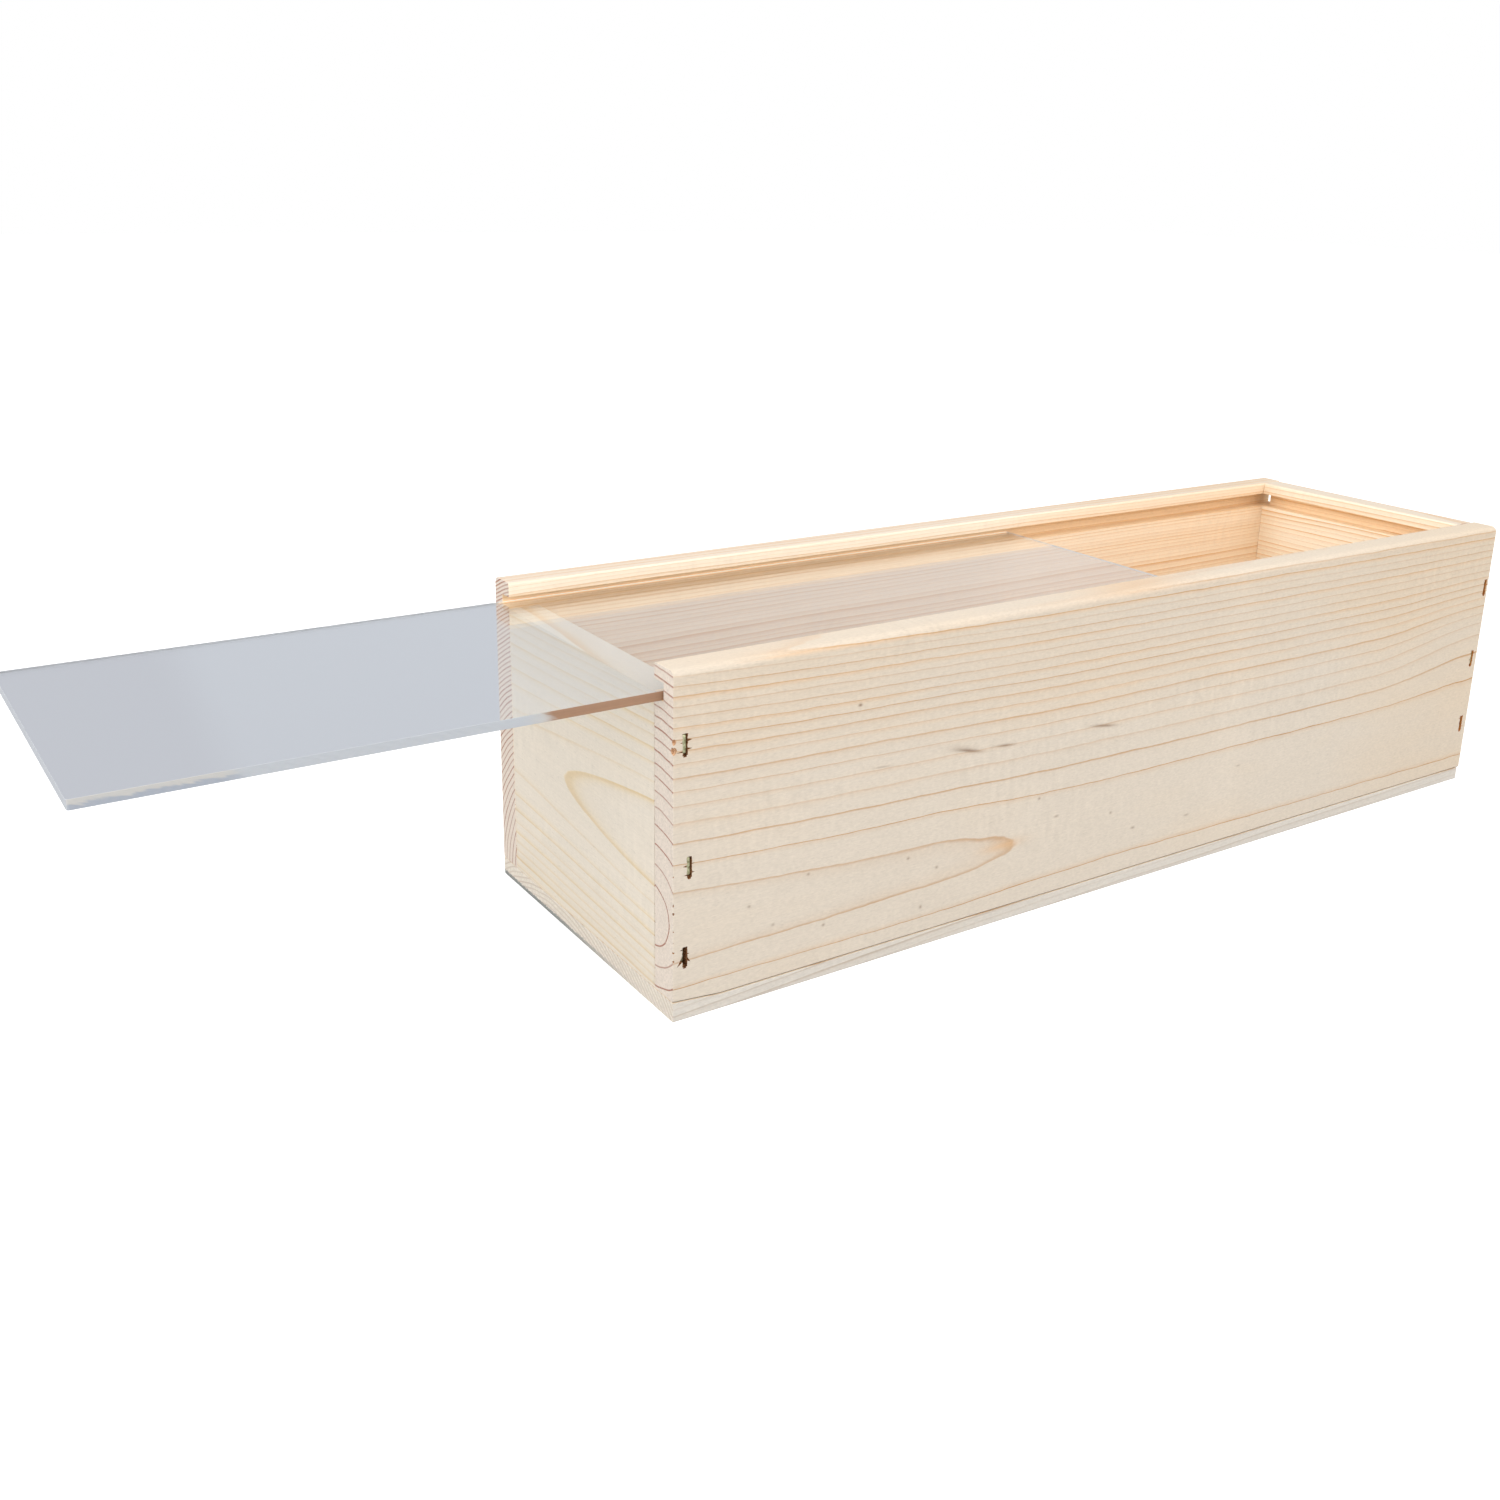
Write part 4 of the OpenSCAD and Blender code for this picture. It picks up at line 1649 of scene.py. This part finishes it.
@dataclass(frozen=True)
class Studio:
    """Camera at the photograph's place, pale floor, white surround and soft lamps, in metres."""

    camera_place: Corner = (-0.362908, -0.380429, 0.221563)
    camera_heading: float = -33.8554
    camera_pitch: float = 72.5677
    camera_roll: float = 1.2807
    lens: float = 37.538
    sensor: float = 36.0
    shift: tuple[float, float] = (-0.018126, -0.060803)
    nearest: float = 0.01
    floor_side: float = 9.0
    ambient: Paint = (0.9, 0.9, 0.9, 1.0)
    surround: Paint = (0.66, 0.70, 0.75, 1.0)
    surround_dim: Paint = (0.56, 0.575, 0.62, 1.0)
    dim_heading: float = 6.69
    dim_lean: float = 0.306
    dim_edge: float = 0.02
    target: Corner = (0, 0, 0.05)
    lamps: tuple[Lamp, ...] = (
        Lamp("top_lamp", (-0.1, 0.1, 2.0), 1.4, 2.0),
        Lamp("side_lamp", (0.4, -1.7, 1.0), 1.9, 15.4),
        Lamp("front_lamp", (-1.7, -0.2, 0.95), 1.9, 22.4),
    )

    def set_up(self) -> None:
        """Builds the whole studio."""
        self._camera()
        self._world()
        self._floor()
        for lamp in self.lamps:
            lamp.hang(self.target)
        bpy.context.scene.view_settings.view_transform = "Standard"

    def _camera(self) -> None:
        """Places the camera."""
        Bench.clear()
        bpy.ops.object.camera_add(location=self.camera_place)
        made = bpy.context.object
        made.name = "photo_camera"
        turn = Matrix.Identity(4)
        for angle, axis in ((self.camera_heading, "Z"), (self.camera_pitch, "X"), (self.camera_roll, "Z")):
            turn = turn @ Matrix.Rotation(math.radians(angle), 4, axis)
        made.matrix_world = Matrix.Translation(self.camera_place) @ turn
        made.data.lens = self.lens
        made.data.sensor_width = self.sensor
        made.data.shift_x, made.data.shift_y = self.shift
        made.data.clip_start = self.nearest
        bpy.context.scene.camera = made

    def _world(self) -> None:
        """Lights the scene evenly, and shows white to the camera and pale grey paper in the plastic."""
        world = bpy.data.worlds.new("paper_surround")
        bpy.context.scene.world = world
        world.use_nodes = True
        graph = Graph(world.node_tree)
        from_camera, shiny = graph.rays()
        way = graph.axes(graph.node("ShaderNodeTexCoord").outputs["Generated"])
        heading = math.radians(self.dim_heading)
        right = way["x"] * math.cos(heading) - way["y"] * math.sin(heading) - way["z"] * self.dim_lean
        is_bright = graph.smooth(right, -self.dim_edge, self.dim_edge)
        colour = graph.mix(shiny, self.ambient, graph.mix(is_bright, self.surround_dim, self.surround))
        colour = graph.mix(from_camera, colour, WHITE)
        light = graph.shader("ShaderNodeBackground", {"Color": colour, "Strength": 1.0})
        graph.node("ShaderNodeOutputWorld", {}, {0: light})

    def _floor(self) -> None:
        """Lays a pale floor that keeps only the darkest of the shadow in the camera's view."""
        Bench.clear()
        bpy.ops.mesh.primitive_plane_add(size=self.floor_side, location=(0, 0, 0))
        floor = bpy.context.object
        floor.name = "studio_floor"
        floor.data.materials.append(PAPER.material())


# ---- Assembly ----


@dataclass
class PineBox:
    """The whole box: five boards, eight rows of staples and the lid."""

    sizes: BoxSizes = BoxSizes()
    corner_pit: float = 0.45
    under_pit: float = 0.4

    def __post_init__(self) -> None:
        """Lays out the boards and the lid."""
        self.near = self._board(SideBoard, "near_side", "side_pine", NEAR_PINE)
        self.far = self._board(SideBoard, "far_side", "side_pine", FAR_PINE)
        self.front = self._board(LowEndBoard, "front_end", "end_pine", FRONT_PINE)
        self.back = self._board(TallEndBoard, "back_end", "end_pine", BACK_PINE)
        self.bottom = self._board(BottomBoard, "bottom", "bottom_pine", BOTTOM_PINE)
        self.boards = (self.near, self.far, self.front, self.back, self.bottom)
        self.lid = SlidingLid("lid_sheet", ("sliding_lid",), "lid", "clear_sheet")

    def _board(self, kind: type[Board], part: str, slot: str, finish: PineFinish) -> Board:
        """Lays out one board, named after its part of the box."""
        return kind(f"{part}_wood", (f"{part}_board",), "box", slot, finish, self.sizes)

    def build(self) -> None:
        """Builds and dresses every piece in order, and hands each to the frame."""
        for board in self.boards:
            board.build()
        torn, crushed, chipped = (look.material() for look in (TORN_WOOD, CRUSHED_WOOD, CHIPPED_WOOD))
        steel = STAPLE_STEEL.material()
        rows = self._rows()
        for row, outside, inside, face in rows:
            row.drive(outside, inside, face, crushed if inside is self.back else torn)
        self._chips(chipped, torn)
        for board in self.boards:
            board.carve()
            Bench.shade(board.shape)
            board.hand_over()
        for row, *_ in rows:
            row.build(steel)
            row.hand_over()
        self.lid.build()
        self.lid.hand_over()

    def _rows(self) -> list[tuple[StapleRow, Board, Board, float]]:
        """Each row of staples, the board whose face it lies in, the board its legs reach and that face."""
        near, far, front, back = self.near, self.far, self.front, self.back
        near_face, far_face = near.corners()[0].y, -far.corners()[1].y
        pit, under_pit = self.corner_pit, self.under_pit
        towards_y, away_y, up, along = (0, 1, 0), (0, -1, 0), (0, 0, 1), (1, 0, 0)
        layout = (
            ("near_front", near, front, near_face, towards_y, up, NEAR_TEARS, pit),
            ("near_back", near, back, near_face, towards_y, up, FAR_TEARS, pit),
            ("far_front", far, front, far_face, away_y, up, FAR_TEARS, pit),
            ("far_back", far, back, far_face, away_y, up, NEAR_TEARS, pit),
            ("near_bottom", self.bottom, near, 0.0, up, along, FAR_TEARS, under_pit),
            ("far_bottom", self.bottom, far, 0.0, up, along, FAR_TEARS, under_pit),
            ("front_bottom", self.bottom, front, 0.0, up, towards_y, FAR_TEARS, under_pit),
            ("back_bottom", self.bottom, back, 0.0, up, towards_y, FAR_TEARS, under_pit),
        )
        rows = []
        for seed, (place, outside, inside, face, *looks) in enumerate(layout, 1):
            row = StapleRow(f"{place}_wires", (f"{place}_staples",), "box", "staple_wire", *looks, seed)
            rows.append((row, outside, inside, face))
        return rows

    def _chips(self, chipped: bpy.types.Material, torn: bpy.types.Material) -> None:
        """Breaks the saw's small chips out of the side boards' upright edges at the open end."""
        low, high = self.near.corners()
        far_low, _ = self.far.corners()
        ChippedEdge((low.x, high.y, 22.0), 60.0, 14, 0.7, 3).cut_from(self.near, torn)
        ChippedEdge((low.x, low.y, 77.6), 81.6, 2, 1.5, 8).cut_from(self.near, chipped)
        ChippedEdge((low.x, low.y, 17.0), 45.0, 10, 0.5, 11).cut_from(self.near, torn)
        ChippedEdge((far_low.x, far_low.y, 8.0), 30.0, 6, 0.35, 5).cut_from(self.far, chipped)


def main() -> None:
    """Builds the studio and the box."""
    logging.basicConfig(level=logging.INFO, format="%(name)s: %(message)s")
    Studio().set_up()
    PineBox().build()
    Bench.clear()


if __name__ == "__main__":
    main()
